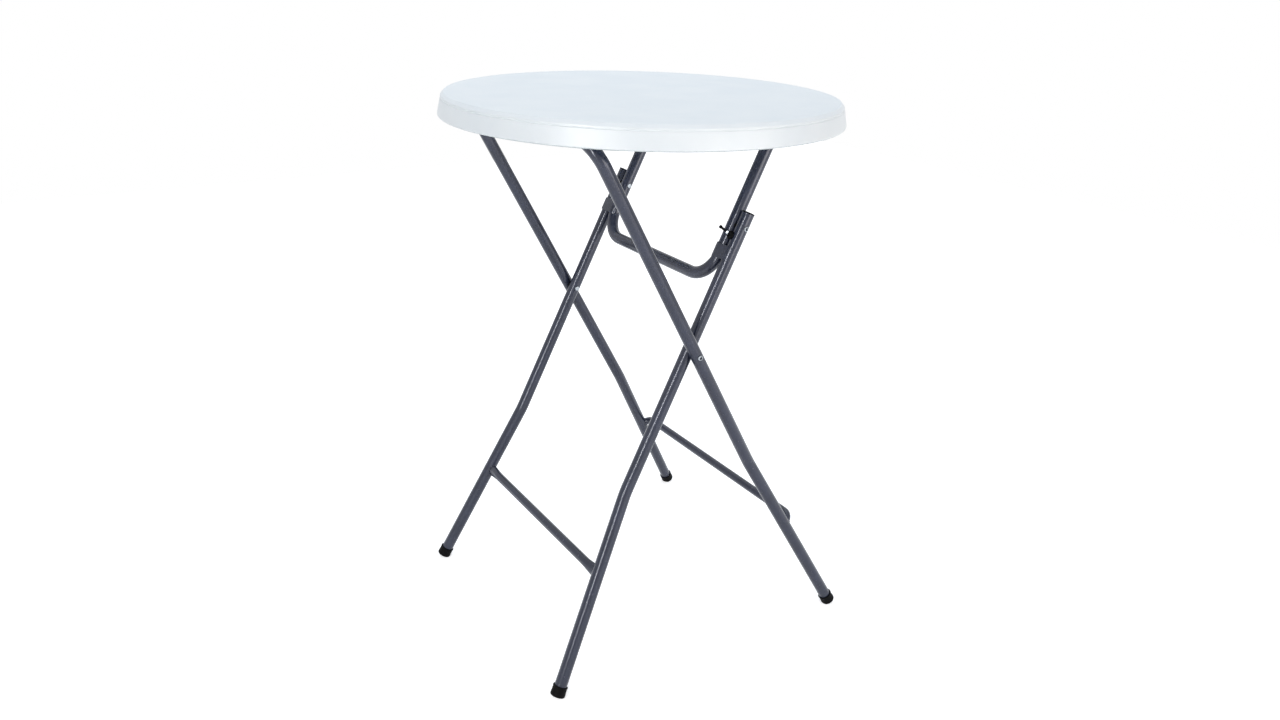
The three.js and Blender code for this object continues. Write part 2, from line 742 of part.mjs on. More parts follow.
// Straps: bent round the pivot tube and screwed to the underside of the top
function strap(x, y) {
  const seat = undersideZ - fitGap - pivotZ;
  const inner = tubeRadius + turnGap;
  const outer = inner + strapThickness;
  const reach = outer + strapFlangeLength;
  const shape = new THREE.Shape();
  shape.moveTo(-reach, seat);
  shape.lineTo(-reach, seat - strapThickness);
  shape.lineTo(-outer, seat - strapThickness);
  shape.absarc(0, 0, outer, Math.PI, 2 * Math.PI, false);
  shape.lineTo(outer, seat - strapThickness);
  shape.lineTo(reach, seat - strapThickness);
  shape.lineTo(reach, seat);
  shape.lineTo(inner, seat);
  shape.absarc(0, 0, inner, 0, -Math.PI, true);
  shape.lineTo(-inner, seat);
  shape.closePath();
  const bent = new THREE.ExtrudeGeometry(shape, {
    depth: strapWidth, bevelEnabled: false, curveSegments: tubeArcPoints,
  });
  bent.rotateX(overTop).translate(x, y + strapWidth / 2, pivotZ);
  const holes = [-screwReach, screwReach].map((way) => holeUpTo(x + way, y, undersideZ));
  return cut(bent, ...holes);
}

// A pan-head screw that points up; its head bears on the flange from below.
function screw() {
  const seat = -fitGap - strapThickness - fitGap;
  const low = seat - screwHeadHeight;
  return turned([
    [0, low + screwRecessDepth],
    [screwRecessDiameter / 2, low + screwRecessDepth],
    [screwRecessDiameter / 2, low],
    [(screwHeadDiameter - screwHeadHeight) / 2, low],
    [screwHeadDiameter / 2, low + screwHeadHeight / 2],
    [screwHeadDiameter / 2, seat],
    [screwDiameter / 2, seat],
    [screwDiameter / 2, screwDepth - screwDiameter / 2],
    [0, screwDepth],
  ], pinSides / 2).rotateX(overTop);
}

for (const { owner, side, x, y } of strapPlaces) {
  table.add(piece(`${owner}_strap_${side}`, strap(x, y), zincSteel()));
}
for (const { owner, side, end, x, y } of screwPlaces) {
  table.add(piece(`${owner}_screw_${side}_${end}`, screw().translate(x, y, undersideZ), zincSteel()));
}

export default table;
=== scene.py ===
# %% [markdown]
# # A folding standing table in steel tube and moulded plastic
#
# The table is 1.1 m high with a round top of 0.8 m. Every piece below is drawn in metres, in the
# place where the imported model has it, and then rides on the body that moves it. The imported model
# comes first, because the pivots, the tube size and the widths are all read from it.

import json
import math
from contextlib import contextmanager

import bmesh
import bpy
from mathutils import Matrix, Vector
from mathutils.geometry import delaunay_2d_cdt


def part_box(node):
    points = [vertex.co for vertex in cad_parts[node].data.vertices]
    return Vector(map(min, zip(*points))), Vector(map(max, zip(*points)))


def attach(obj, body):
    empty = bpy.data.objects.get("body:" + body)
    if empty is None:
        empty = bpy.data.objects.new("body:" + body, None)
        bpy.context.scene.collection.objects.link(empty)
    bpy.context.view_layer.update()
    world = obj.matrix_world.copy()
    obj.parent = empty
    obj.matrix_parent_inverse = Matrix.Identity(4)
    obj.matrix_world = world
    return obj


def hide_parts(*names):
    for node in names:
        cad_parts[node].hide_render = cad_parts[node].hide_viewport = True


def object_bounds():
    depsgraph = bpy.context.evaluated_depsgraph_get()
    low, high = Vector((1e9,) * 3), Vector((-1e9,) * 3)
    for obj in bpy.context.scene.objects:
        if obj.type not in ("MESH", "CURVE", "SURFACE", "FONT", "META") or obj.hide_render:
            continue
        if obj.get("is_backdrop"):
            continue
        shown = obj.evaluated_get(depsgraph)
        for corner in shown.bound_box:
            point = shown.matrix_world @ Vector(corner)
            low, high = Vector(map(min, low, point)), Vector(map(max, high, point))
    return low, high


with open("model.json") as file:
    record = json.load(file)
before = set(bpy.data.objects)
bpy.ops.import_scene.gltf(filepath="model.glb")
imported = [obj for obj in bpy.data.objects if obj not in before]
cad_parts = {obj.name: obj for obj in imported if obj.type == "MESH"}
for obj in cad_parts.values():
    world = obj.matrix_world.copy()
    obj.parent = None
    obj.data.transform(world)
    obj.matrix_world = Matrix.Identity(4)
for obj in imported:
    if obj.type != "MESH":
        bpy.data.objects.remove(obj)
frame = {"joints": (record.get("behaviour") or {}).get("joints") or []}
cad_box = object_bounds()
scene = bpy.context.scene
print("the packed model measures", [round(v, 3) for v in cad_box[1] - cad_box[0]])

# %% [markdown]
# ## The view
#
# The photograph was taken from the front left, a little above the top. The camera's place and turn
# were solved from the outline of the top, the feet and the pivots in the picture of 1280 by 720.
# Its middle line runs above the picture's middle, so the lens is shifted a little.

# %% Place the camera
image_width = 1280
image_height = 720
focal_pixels = 1009.5
middle_line_row = 290
camera_place = Vector((-1.1044, -1.6803, 1.3567))
camera_yaw = math.radians(33.53)
camera_pitch = math.radians(18.337)
camera_roll = math.radians(1.919)


def make_camera():
    """Looks along yaw, counted from +Y towards +X, and pitch below the horizon."""
    data = bpy.data.cameras.new("photo_camera")
    data.sensor_width = 36
    data.lens = data.sensor_width * focal_pixels / image_width
    data.shift_y = (middle_line_row - image_height / 2) / image_width
    forward = Vector((
        math.sin(camera_yaw) * math.cos(camera_pitch),
        math.cos(camera_yaw) * math.cos(camera_pitch),
        -math.sin(camera_pitch),
    ))
    level = Vector((math.cos(camera_yaw), -math.sin(camera_yaw), 0))
    raised = level.cross(forward)
    right = level * math.cos(camera_roll) + raised * math.sin(camera_roll)
    up = right.cross(forward)
    camera = bpy.data.objects.new("photo_camera", data)
    scene.collection.objects.link(camera)
    turn = Matrix((right, up, -forward)).transposed().to_4x4()
    camera.matrix_world = Matrix.Translation(camera_place) @ turn
    scene.camera = camera
    return camera


camera = make_camera()
print("lens", round(camera.data.lens, 2), "mm, shift", round(camera.data.shift_y, 3))

# %% [markdown]
# ## The bones of the frame
#
# Three frames of tube turn on each other: the outer legs hang from the top at their upper end, the
# inner legs are riveted to them half way, and the strut ties the inner legs to the other side of
# the top. Each frame is flat, so each gets its own axes: x across the frame, y along the pivots
# and z up along the tubes, with the origin on its pivot.

# %% Read the pivots and the tube sizes
MM = 0.001
both_sides = (("front", -1), ("rear", 1))
joints = {joint["name"]: joint for joint in frame["joints"]}
outer_pivot = Vector(joints["outer_fold"]["pos_m"])
scissor_pivot = Vector(joints["inner_fold"]["pos_m"])
strut_pivot = Vector(joints["strut_fold"]["pos_m"])

axle_low, axle_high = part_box("strut_axle")
tube_radius = (axle_high.z - axle_low.z) / 2
tube_wall = 1.2 * MM
bar_radius = 9 * MM
bar_wall = 1.2 * MM
side_gap = 3.5 * MM
seam = 0.3 * MM

strut_half_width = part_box("strut_frame")[1].y - tube_radius
inner_half_width = strut_half_width + 2 * tube_radius + side_gap
outer_half_width = inner_half_width + 2 * tube_radius + side_gap
print("tube", round(tube_radius / MM * 2, 1), "mm, outer legs", round(outer_half_width / MM * 2))


# %% Give each frame its axes
def frame_axes(origin, above):
    """Axes with z from origin to above and y level: the place of a tilted frame."""
    along = (above - origin).normalized()
    level = Vector((0, 1, 0))
    across = level.cross(along)
    turn = Matrix((across, level, along)).transposed().to_4x4()
    return Matrix.Translation(origin) @ turn


outer_axes = frame_axes(outer_pivot, outer_pivot * 2 - scissor_pivot)
inner_axes = frame_axes(scissor_pivot, strut_pivot)
strut_axes = frame_axes(strut_pivot, strut_pivot * 2 - scissor_pivot)
outer_arm = (outer_pivot - scissor_pivot).length
inner_line = (strut_pivot - scissor_pivot).length
pivot_spread = (strut_pivot - outer_pivot).length
scissor_to_fold = (inner_line + outer_arm - pivot_spread) / 2
strut_arm = inner_line - scissor_to_fold
print("outer arm", round(outer_arm / MM, 1), "mm, strut arm", round(strut_arm / MM, 1), "mm")

# %% [markdown]
# ## Materials
#
# Colours are written as sRGB hex values, as a paint card gives them, and turned to the linear
# numbers that Blender mixes. One small function adds a node, sets its values and joins its sockets,
# and it serves the materials and the geometry trees alike. A socket is given by its name, or by its
# number where several share one: a colour mix takes its share at 0 and its colours at 6 and 7.

# %% Helpers for nodes and colours
def set_inputs(node, inputs):
    """Links each input that is given as a socket, and sets any other to its value."""
    for key, value in inputs.items():
        if isinstance(value, bpy.types.NodeSocket):
            node.id_data.links.new(value, node.inputs[key])
        else:
            node.inputs[key].default_value = value


def add_node(tree, kind, inputs=None, **settings):
    """Adds a node with its settings, values and links."""
    node = tree.nodes.new(kind)
    for name, value in settings.items():
        setattr(node, name, value)
    set_inputs(node, inputs or {})
    return node


def linear(hex_colour):
    """Linear RGBA from an sRGB hex colour such as '#E9EEF1'."""
    shares = [int(hex_colour[i:i + 2], 16) / 255 for i in (1, 3, 5)]
    return (*(s / 12.92 if s <= 0.04045 else ((s + 0.055) / 1.055) ** 2.4 for s in shares), 1)


def new_material(name):
    """A material, its tree and the surface that the tree ends in."""
    material = bpy.data.materials.new(name)
    material.use_nodes = True
    return material, material.node_tree, material.node_tree.nodes["Principled BSDF"]


print("a mid grey of #808080 is", round(linear("#808080")[0], 3), "of the light")

# %% [markdown]
# ### Patterns with a real size
#
# No finish is even. Each gets noise that is read in the piece's own coordinates, so one over the
# scale is the size of a grain in metres. Noise stays near its middle value, so the part of its
# range that really occurs is spread over the values wanted.

# %% Helper for patterns
def pattern(tree, size, detail, found=(0, 1), wanted=(0, 1)):
    """Noise with grains about size across; the values found in it become the values wanted."""
    place = add_node(tree, "ShaderNodeTexCoord").outputs["Object"]
    noise = add_node(tree, "ShaderNodeTexNoise", {
        "Vector": place, "Scale": 1 / size, "Detail": detail, "Roughness": 0.55,
    })
    return add_node(tree, "ShaderNodeMapRange", {
        "Value": noise.outputs[0], "From Min": found[0], "From Max": found[1],
        "To Min": wanted[0], "To Max": wanted[1],
    }).outputs[0]


def height_above_floor(tree):
    place = add_node(tree, "ShaderNodeTexCoord").outputs["Object"]
    return add_node(tree, "ShaderNodeSeparateXYZ", {0: place}).outputs[2]


print("patterns are read in metres, so 2 mm grain has a scale of", round(1 / (2 * MM)))

# %% [markdown]
# ### Blow-moulded polyethylene
#
# The top is high-density polyethylene, blown as a closed shell against a grained steel mould. That
# gives a cool white with a satin skin, a fine leather-like grain and slow ripples where the wall
# cooled unevenly. The real grain is about 0.6 mm; it is drawn at 2 mm so that it shows. The lowest
# 2 mm of the rim are painted grey all round, as painted shade where the rim turns under.

# %% Make the top's plastic
table_height = cad_box[1].z
rim_height = 44 * MM
rim_low = table_height - rim_height


def make_moulded_polyethylene():
    material, tree, shader = new_material("blow_moulded_polyethylene")
    cloud = pattern(tree, 90 * MM, 2, (0.35, 0.65))
    white = add_node(tree, "ShaderNodeMix", {
        0: cloud, 6: linear("#E8EDEF"), 7: linear("#ECF0F1"),
    }, data_type="RGBA")
    # Painted shade: the lowest 2 mm of the rim are mixed towards a green-grey, standing in for the
    # shade where the rim turns under.
    painted_rim_shade = add_node(tree, "ShaderNodeMapRange", {
        "Value": height_above_floor(tree), "From Min": rim_low + 0.4 * MM,
        "From Max": rim_low + 2.6 * MM, "To Min": 1, "To Max": 0,
    })
    colour = add_node(tree, "ShaderNodeMix", {
        0: painted_rim_shade.outputs[0], 6: white.outputs[2], 7: linear("#A7B3B4"),
    }, data_type="RGBA")
    waves = add_node(tree, "ShaderNodeBump", {
        "Strength": 0.25, "Distance": 0.6 * MM, "Height": pattern(tree, 90 * MM, 2),
    })
    grain = add_node(tree, "ShaderNodeBump", {
        "Strength": 0.25, "Distance": 0.12 * MM, "Height": pattern(tree, 2 * MM, 4),
        "Normal": waves.outputs[0],
    })
    satin = pattern(tree, 2 * MM, 4, (0.3, 0.7), (0.34, 0.46))
    set_inputs(shader, {
        "Base Color": colour.outputs[2], "Roughness": satin, "IOR": 1.54,
        "Normal": grain.outputs[0],
    })
    return material


moulded_polyethylene = make_moulded_polyethylene()
print("made", moulded_polyethylene.name)

# %% [markdown]
# ### Powder-coated steel tube
#
# The frame is welded steel tube under a baked grey powder coat. Powder flows as it bakes, so the
# film is smooth and semi-gloss with the slight waviness called orange peel, about 2.5 mm from
# crest to crest. It is a little thinner and lighter here and there, and fine scuffs dull it. The
# metallic share stands for the mica in the powder.

# %% Make the powder coat
def make_powder_coat():
    material, tree, shader = new_material("powder_coated_steel")
    patches = pattern(tree, 45 * MM, 4, (0.35, 0.65))
    colour = add_node(tree, "ShaderNodeMix", {
        0: patches, 6: linear("#252A3B"), 7: linear("#2C3144"),
    }, data_type="RGBA")
    scuffs = pattern(tree, 7 * MM, 6, (0.55, 0.75), (0.22, 0.32))
    peel = add_node(tree, "ShaderNodeBump", {
        "Strength": 0.1, "Distance": 0.04 * MM, "Height": pattern(tree, 2.5 * MM, 2),
    })
    set_inputs(shader, {
        "Base Color": colour.outputs[2], "Roughness": scuffs, "IOR": 1.55, "Metallic": 0.15,
        "Normal": peel.outputs[0],
    })
    return material


powder_coat = make_powder_coat()
print("made", powder_coat.name)

# %% [markdown]
# ### Black mouldings
#
# Feet and plugs are injection-moulded low-density polyethylene: near black, slightly waxy and
# finely sparked by the mould. The real sparks are about 0.2 mm; they are drawn at 1.2 mm so that
# they show. The feet pick up pale dust where they meet the floor. The latch and the washers are
# nylon, a little glossier and harder. The white studio mirrors in any black, so their reflections
# are held low, at about the level that the sparked skin leaves of them.

# %% Make the black plastics
def make_black_plastic(name, low, high, roughness, dusty_height):
    material, tree, shader = new_material(name)
    patches = pattern(tree, 9 * MM, 4, (0.35, 0.7))
    colour = add_node(tree, "ShaderNodeMix", {
        0: patches, 6: linear(low), 7: linear(high),
    }, data_type="RGBA")
    if dusty_height:
        near_floor = add_node(tree, "ShaderNodeMapRange", {
            "Value": height_above_floor(tree), "From Min": 0, "From Max": dusty_height,
            "To Min": 0.55, "To Max": 0,
        })
        dust = add_node(tree, "ShaderNodeMath", {
            0: near_floor.outputs[0], 1: patches,
        }, operation="MULTIPLY")
        colour = add_node(tree, "ShaderNodeMix", {
            0: dust.outputs[0], 6: colour.outputs[2], 7: linear("#77736C"),
        }, data_type="RGBA")
    wax = pattern(tree, 1.2 * MM, 3, (0.3, 0.7), (roughness - 0.06, roughness + 0.08))
    spark = add_node(tree, "ShaderNodeBump", {
        "Strength": 0.35, "Distance": 0.08 * MM, "Height": pattern(tree, 1.2 * MM, 3),
    })
    set_inputs(shader, {
        "Base Color": colour.outputs[2], "Roughness": wax, "IOR": 1.51,
        "Specular IOR Level": 0.08, "Normal": spark.outputs[0],
    })
    return material


black_polyethylene = make_black_plastic("black_polyethylene", "#020203", "#060607", 0.55, 4 * MM)
black_nylon = make_black_plastic("black_nylon", "#020203", "#050506", 0.42, 0)
print("made", black_polyethylene.name, "and", black_nylon.name)

# %% [markdown]
# ### Zinc-plated steel
#
# Rivets, bolts, screws and straps are plated with bright zinc. The plating is a true metal, pale
# and slightly blue, with cloudy patches and rubbing marks from the barrel it was plated in. The
# marks are really about 0.2 mm and are drawn at 0.9 mm, because finer ones wouldn't show.

# %% Make the zinc plating
def make_zinc_plate():
    material, tree, shader = new_material("zinc_plated_steel")
    colour = add_node(tree, "ShaderNodeMix", {
        0: pattern(tree, 5 * MM, 5, (0.35, 0.7)), 6: linear("#8B9197"), 7: linear("#A9AFB4"),
    }, data_type="RGBA")
    clouds = pattern(tree, 5 * MM, 5, (0.35, 0.7), (0.24, 0.4))
    rubbing = add_node(tree, "ShaderNodeBump", {
        "Strength": 0.2, "Distance": 0.04 * MM, "Height": pattern(tree, 0.9 * MM, 2),
    })
    set_inputs(shader, {
        "Base Color": colour.outputs[2], "Roughness": clouds, "Metallic": 1,
        "Normal": rubbing.outputs[0],
    })
    return material


zinc_plate = make_zinc_plate()
print("made", zinc_plate.name)

# %% [markdown]
# ## Shop tools
#
# Most pieces here come from four processes: turning, bending a tube, cutting a plate and welding.
# Each gets one helper. They all end in a plain mesh whose object sits at the origin, with its place
# in its points, because the export puts every object there and the patterns must not slide.

# %% Make a mesh and edit it
same_point = 1e-7  # metres; two points closer than this are one


@contextmanager
def opened(mesh):
    """Lends the points and faces of a mesh to be edited, and puts them back."""
    work = bmesh.new()
    work.from_mesh(mesh)
    yield work
    work.to_mesh(mesh)
    work.free()


def add_object(name, mesh):
    piece = bpy.data.objects.new(name, mesh)
    scene.collection.objects.link(piece)
    return piece


def mesh_piece(name, vertices, faces):
    """A new object from points and faces, smooth, with its faces pointing outwards."""
    mesh = bpy.data.meshes.new(name)
    mesh.from_pydata([tuple(v) for v in vertices], [], faces)
    with opened(mesh) as work:
        bmesh.ops.recalc_face_normals(work, faces=work.faces)
    mesh.polygons.foreach_set("use_smooth", [True] * len(mesh.polygons))
    return add_object(name, mesh)


def freeze(piece):
    """Turns what the modifiers make into the piece's own mesh and removes them."""
    graph = bpy.context.evaluated_depsgraph_get()
    mesh = bpy.data.meshes.new_from_object(piece.evaluated_get(graph))
    piece.modifiers.clear()
    piece.data = mesh
    return piece


# %% Finish edges and join pieces
def crease(piece, degrees=32):
    """Keeps edges sharp where faces meet at more than the angle, and smooths the rest."""
    mesh = piece.data
    mesh.polygons.foreach_set("use_smooth", [True] * len(mesh.polygons))
    mesh.set_sharp_from_angle(angle=math.radians(degrees))
    return piece


def soften(piece, width, segments=2, degrees=40):
    """Rounds the sharp edges, as deburring or a mould does."""
    bevel = piece.modifiers.new("soften", "BEVEL")
    bevel.width = width
    bevel.segments = segments
    bevel.limit_method = "ANGLE"
    bevel.angle_limit = math.radians(degrees)
    bevel.harden_normals = True
    return freeze(piece)


def cut_away(piece, *cutters):
    """Subtracts other pieces and throws them away."""
    for cutter in cutters:
        cut = piece.modifiers.new("cut", "BOOLEAN")
        cut.operation = "DIFFERENCE"
        cut.solver = "EXACT"
        cut.object = cutter
        freeze(piece)
        bpy.data.objects.remove(cutter)
    return piece


def merge(name, pieces):
    """Puts several finished meshes into one object."""
    mesh = bpy.data.meshes.new(name)
    with opened(mesh) as work:
        for piece in pieces:
            work.from_mesh(piece.data)
            bpy.data.objects.remove(piece)
    return add_object(name, mesh)


def install(piece, body, material, slot, *nodes):
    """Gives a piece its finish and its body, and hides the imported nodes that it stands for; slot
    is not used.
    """
    piece.data.materials.clear()
    piece.data.materials.append(material)
    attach(piece, body)
    if nodes:
        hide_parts(*nodes)
    print(f"{piece.name}: {len(piece.data.polygons)} faces on {body}")
    return piece


# %% [markdown]
# ### Turned pieces and plates
#
# Rivets, washers, feet and the top are round, so a lathe makes them: a profile goes round an axis.
# Straps, rests and the lever are cut or bent from plate, so an outline is given a thickness. Both
# start from corners with a radius each, because no edge of a real piece is perfectly sharp.

# %% Round the corners of an outline
def round_off(corners, closed=False, steps=4):
    """Points of an outline whose corners are given as (x, y, radius of the corner)."""
    points = []
    for i, (x, y, radius) in enumerate(corners):
        here = Vector((x, y))
        is_end = not closed and i in (0, len(corners) - 1)
        if is_end or radius == 0:
            points.append(here)
            continue
        back = (Vector(corners[i - 1][:2]) - here).normalized()
        ahead = (Vector(corners[(i + 1) % len(corners)][:2]) - here).normalized()
        half = back.angle(ahead) / 2
        centre = here + (back + ahead).normalized() * radius / math.sin(half)
        start = here + back * radius / math.tan(half) - centre
        sweep = math.copysign(math.pi - 2 * half, ahead.cross(back))
        for k in range(steps + 1):
            turn = Matrix.Rotation(sweep * k / steps, 2)
            points.append(centre + turn @ start)
    return points


def arc(centre_x, radius, start, stop, steps=10):
    """Points on an arc about a centre on the x axis, from one angle to another."""
    angles = [start + (stop - start) * k / steps for k in range(steps + 1)]
    return [Vector((centre_x + radius * math.cos(a), radius * math.sin(a))) for a in angles]


print("a square with round corners has", len(round_off([
    (0, 0, 0.1), (1, 0, 0.1), (1, 1, 0.1), (0, 1, 0.1),
], closed=True)), "points")


# %% Turn a profile and cut a plate
def turn_on_lathe(name, profile, place, sides=48, ring=False):
    """Turns a profile of (radius, height) points about the z axis of place."""
    vertices, rows = [], []
    for radius, height in profile:
        if radius < same_point:
            rows.append([len(vertices)] * sides)
            vertices.append(place @ Vector((0, 0, height)))
            continue
        rows.append(list(range(len(vertices), len(vertices) + sides)))
        for k in range(sides):
            angle = 2 * math.pi * k / sides
            x, y = radius * math.cos(angle), radius * math.sin(angle)
            vertices.append(place @ Vector((x, y, height)))
    faces = []
    for low, high in zip(rows, rows[1:] + (rows[:1] if ring else [])):
        for k in range(sides):
            corners = [low[k], low[(k + 1) % sides], high[(k + 1) % sides], high[k]]
            face = list(dict.fromkeys(corners))
            if len(face) > 2:
                faces.append(face)
    return crease(mesh_piece(name, vertices, faces))


def cut_plate(name, outline, low, high, place, bevel=0):
    """A plate between two heights on the z axis of place, with its edges rounded."""
    count = len(outline)
    vertices = [place @ Vector((p[0], p[1], z)) for z in (low, high) for p in outline]
    faces = [list(range(count))[::-1], list(range(count, 2 * count))]
    faces += [[k, (k + 1) % count, count + (k + 1) % count, count + k] for k in range(count)]
    plate = mesh_piece(name, vertices, faces)
    return crease(soften(plate, bevel)) if bevel else plate


def drill(name, radius, low, high, place, sides=32):
    """A plain round bar, to cut a hole with."""
    return turn_on_lathe(name, [(0, low), (radius, low), (radius, high), (0, high)], place, sides)


print("tools ready: lathe, plate and drill")

# %% [markdown]
# ### A tube that follows its bends
#
# A bent tube is a rule: a route of straight runs, a radius at each bend and a round section. That
# suits Geometry Nodes. The tree fillets the route, sweeps a circle along it and sets the finish.
# A Solidify modifier then gives the tube its real wall, so its open ends are true.

# %% Build the tube tree
def group_input(tree, name, kind, default=None):
    """Adds a named input to a tree and returns the identifier that a modifier needs."""
    socket = tree.interface.new_socket(name=name, in_out="INPUT", socket_type=kind)
    if default is not None:
        socket.default_value = default
    return socket.identifier


def new_tree(name, **inputs):
    """A geometry tree with one geometry going in and one coming out, and its named inputs."""
    tree = bpy.data.node_groups.new(name, "GeometryNodeTree")
    group_input(tree, "Route", "NodeSocketGeometry")
    tree.interface.new_socket(name="Piece", in_out="OUTPUT", socket_type="NodeSocketGeometry")
    names = {key: key.replace("_", " ").capitalize() for key in inputs}
    ids = {key: group_input(tree, names[key], *inputs[key]) for key in inputs}
    given = add_node(tree, "NodeGroupInput").outputs
    return tree, ids, {key: given[names[key]] for key in inputs} | {"route": given["Route"]}


def end_tree(tree, geometry, material):
    """Makes any instances real, because the export drops them, and sets the finish."""
    realised = add_node(tree, "GeometryNodeRealizeInstances", {0: geometry})
    finished = add_node(tree, "GeometryNodeSetMaterial", {
        0: realised.outputs[0], "Material": material,
    })
    add_node(tree, "NodeGroupOutput", {"Piece": finished.outputs[0]})


def build_tube_tree():
    tree, ids, given = new_tree(
        "bent_tube",
        tube_radius=("NodeSocketFloat", 12.5 * MM),
        sides=("NodeSocketInt", 48),
        bend_steps=("NodeSocketInt", 14),
        finish=("NodeSocketMaterial",),
    )
    route = add_node(tree, "GeometryNodeMeshToCurve", {"Mesh": given["route"]})
    bend = add_node(tree, "GeometryNodeInputNamedAttribute", {
        "Name": "bend_radius",
    }, data_type="FLOAT")
    filleted = add_node(tree, "GeometryNodeFilletCurve", {
        "Curve": route.outputs[0], "Count": given["bend_steps"],
        "Radius": bend.outputs["Attribute"],
    }, mode="POLY")
    section = add_node(tree, "GeometryNodeCurvePrimitiveCircle", {
        "Resolution": given["sides"], "Radius": given["tube_radius"],
    })
    swept = add_node(tree, "GeometryNodeCurveToMesh", {
        "Curve": filleted.outputs[0], "Profile Curve": section.outputs[0], "Fill Caps": True,
    })
    end_tree(tree, swept.outputs[0], given["finish"])
    return tree, ids


tube_tree, tube_ids = build_tube_tree()
print("tube tree inputs:", ", ".join(tube_ids))


# %% Run a tree along a route
def route_piece(name, points, radii=None, closed=False):
    """A chain of edges for a tree to follow, with a bend radius kept on each point."""
    mesh = bpy.data.meshes.new(name)
    count = len(points)
    edges = [(k, (k + 1) % count) for k in range(count if closed else count - 1)]
    mesh.from_pydata([tuple(p) for p in points], edges, [])
    bends = mesh.attributes.new("bend_radius", "FLOAT", "POINT")
    bends.data.foreach_set("value", radii or [0.0] * count)
    return add_object(name, mesh)


def run_tree(piece, tree, ids, **values):
    """Runs a tree once with its inputs set and keeps the plain mesh, faces outwards."""
    modifier = piece.modifiers.new(tree.name, "NODES")
    modifier.node_group = tree
    for key, value in values.items():
        modifier[ids[key]] = value
    freeze(piece)
    with opened(piece.data) as work:
        bmesh.ops.remove_doubles(work, verts=work.verts, dist=same_point)
        bmesh.ops.recalc_face_normals(work, faces=work.faces)
    return piece


def bend_tube(name, axes, points, radii, radius):
    """A tube along a route in a frame's axes, closed at its ends for now."""
    piece = route_piece(name, [axes @ point for point in points], radii)
    return run_tree(piece, tube_tree, tube_ids, tube_radius=radius, finish=powder_coat)


print("trees made:", [group.name for group in bpy.data.node_groups])

# %% [markdown]
# ### Where one tube meets another
#
# A tube that is welded across another is first cut to its round, so no gap is left to fill. Each
# point of the end is moved along the tube until it lies on the other tube, which is what a hole
# saw does. The points of the end, in order, are then the line of the weld.

# %% Fit and hollow a tube
def fit_end(piece, end, direction, axis_point, axis_way, radius):
    """Shapes a tube's end to sit on another tube and returns the seam round it.

    Each point of the end slides back along direction until it meets the other tube's surface.
    """
    side = direction.orthogonal().normalized()
    other = direction.cross(side)
    flat_way = direction - axis_way * direction.dot(axis_way)
    seam_points = []
    for vertex in piece.data.vertices:
        offset = vertex.co - end
        if abs(offset.dot(direction)) > 0.02 * MM or offset.length > 2 * tube_radius:
            continue
        gap = vertex.co - axis_point
        gap -= axis_way * gap.dot(axis_way)
        reach = gap.dot(flat_way)
        room = max(reach ** 2 - flat_way.length_squared * (gap.length_squared - radius ** 2), 0)
        vertex.co += direction * (-reach - math.sqrt(room)) / flat_way.length_squared
        angle = math.atan2(offset.dot(other), offset.dot(side))
        seam_points.append((angle, vertex.co.copy()))
    return [point for _, point in sorted(seam_points, key=lambda pair: pair[0])]


def give_wall(piece, wall):
    """Opens the ends and thickens the skin inwards."""
    with opened(piece.data) as work:
        caps = [face for face in work.faces if len(face.verts) > 4]
        bmesh.ops.delete(work, geom=caps, context="FACES_ONLY")
    solid = piece.modifiers.new("wall", "SOLIDIFY")
    solid.thickness = wall
    solid.offset = -1
    return crease(freeze(piece))


def finish_tube(piece, wall, body, node):
    give_wall(piece, wall)
    return install(piece, body, powder_coat, "coated_steel", node)


print("walls are", round(tube_wall / MM, 1), "and", round(bar_wall / MM, 1), "mm thick")

# %% [markdown]
# ### A weld bead
#
# A welded seam shows small overlapping ripples, one for each drop of metal. The bead is swept
# along the seam, and the section swells and shrinks with the length. The ripple is 2.4 mm long.

# %% Build the weld tree
def build_weld_tree():
    tree, ids, given = new_tree(
        "weld_bead",
        bead_radius=("NodeSocketFloat", 1.5 * MM),
        ripple_length=("NodeSocketFloat", 2.4 * MM),
        step_length=("NodeSocketFloat", 0.6 * MM),
        finish=("NodeSocketMaterial",),
    )
    route = add_node(tree, "GeometryNodeMeshToCurve", {"Mesh": given["route"]})
    even = add_node(tree, "GeometryNodeResampleCurve", {
        "Curve": route.outputs[0], "Length": given["step_length"],
    }, mode="LENGTH")
    length = add_node(tree, "GeometryNodeSplineParameter").outputs["Length"]
    drops = add_node(tree, "ShaderNodeMath", {
        0: length, 1: given["ripple_length"],
    }, operation="DIVIDE")
    phase = add_node(tree, "ShaderNodeMath", {
        0: drops.outputs[0], 1: math.pi,
    }, operation="MULTIPLY")
    wave = add_node(tree, "ShaderNodeMath", {0: phase.outputs[0]}, operation="SINE")
    swell = add_node(tree, "ShaderNodeMath", {0: wave.outputs[0]}, operation="ABSOLUTE")
    scale = add_node(tree, "ShaderNodeMath", {
        0: swell.outputs[0], 1: 0.3, 2: 0.75,
    }, operation="MULTIPLY_ADD")
    section = add_node(tree, "GeometryNodeCurvePrimitiveCircle", {
        "Resolution": 10, "Radius": given["bead_radius"],
    })
    swept = add_node(tree, "GeometryNodeCurveToMesh", {
        "Curve": even.outputs[0], "Profile Curve": section.outputs[0],
        "Scale": scale.outputs[0], "Fill Caps": True,
    })
    end_tree(tree, swept.outputs[0], given["finish"])
    return tree, ids


weld_tree, weld_ids = build_weld_tree()
print("weld tree inputs:", ", ".join(weld_ids))


# %% Lay the beads
def weld(name, body, seams):
    """One piece with a bead along each seam, given as a list of points and whether it closes."""
    beads = [
        run_tree(route_piece(name, points, closed=closed), weld_tree, weld_ids, finish=powder_coat)
        for points, closed in seams
    ]
    return install(crease(merge(name, beads), 60), body, powder_coat, "coated_steel")


print("beads are laid by", weld_tree.name)

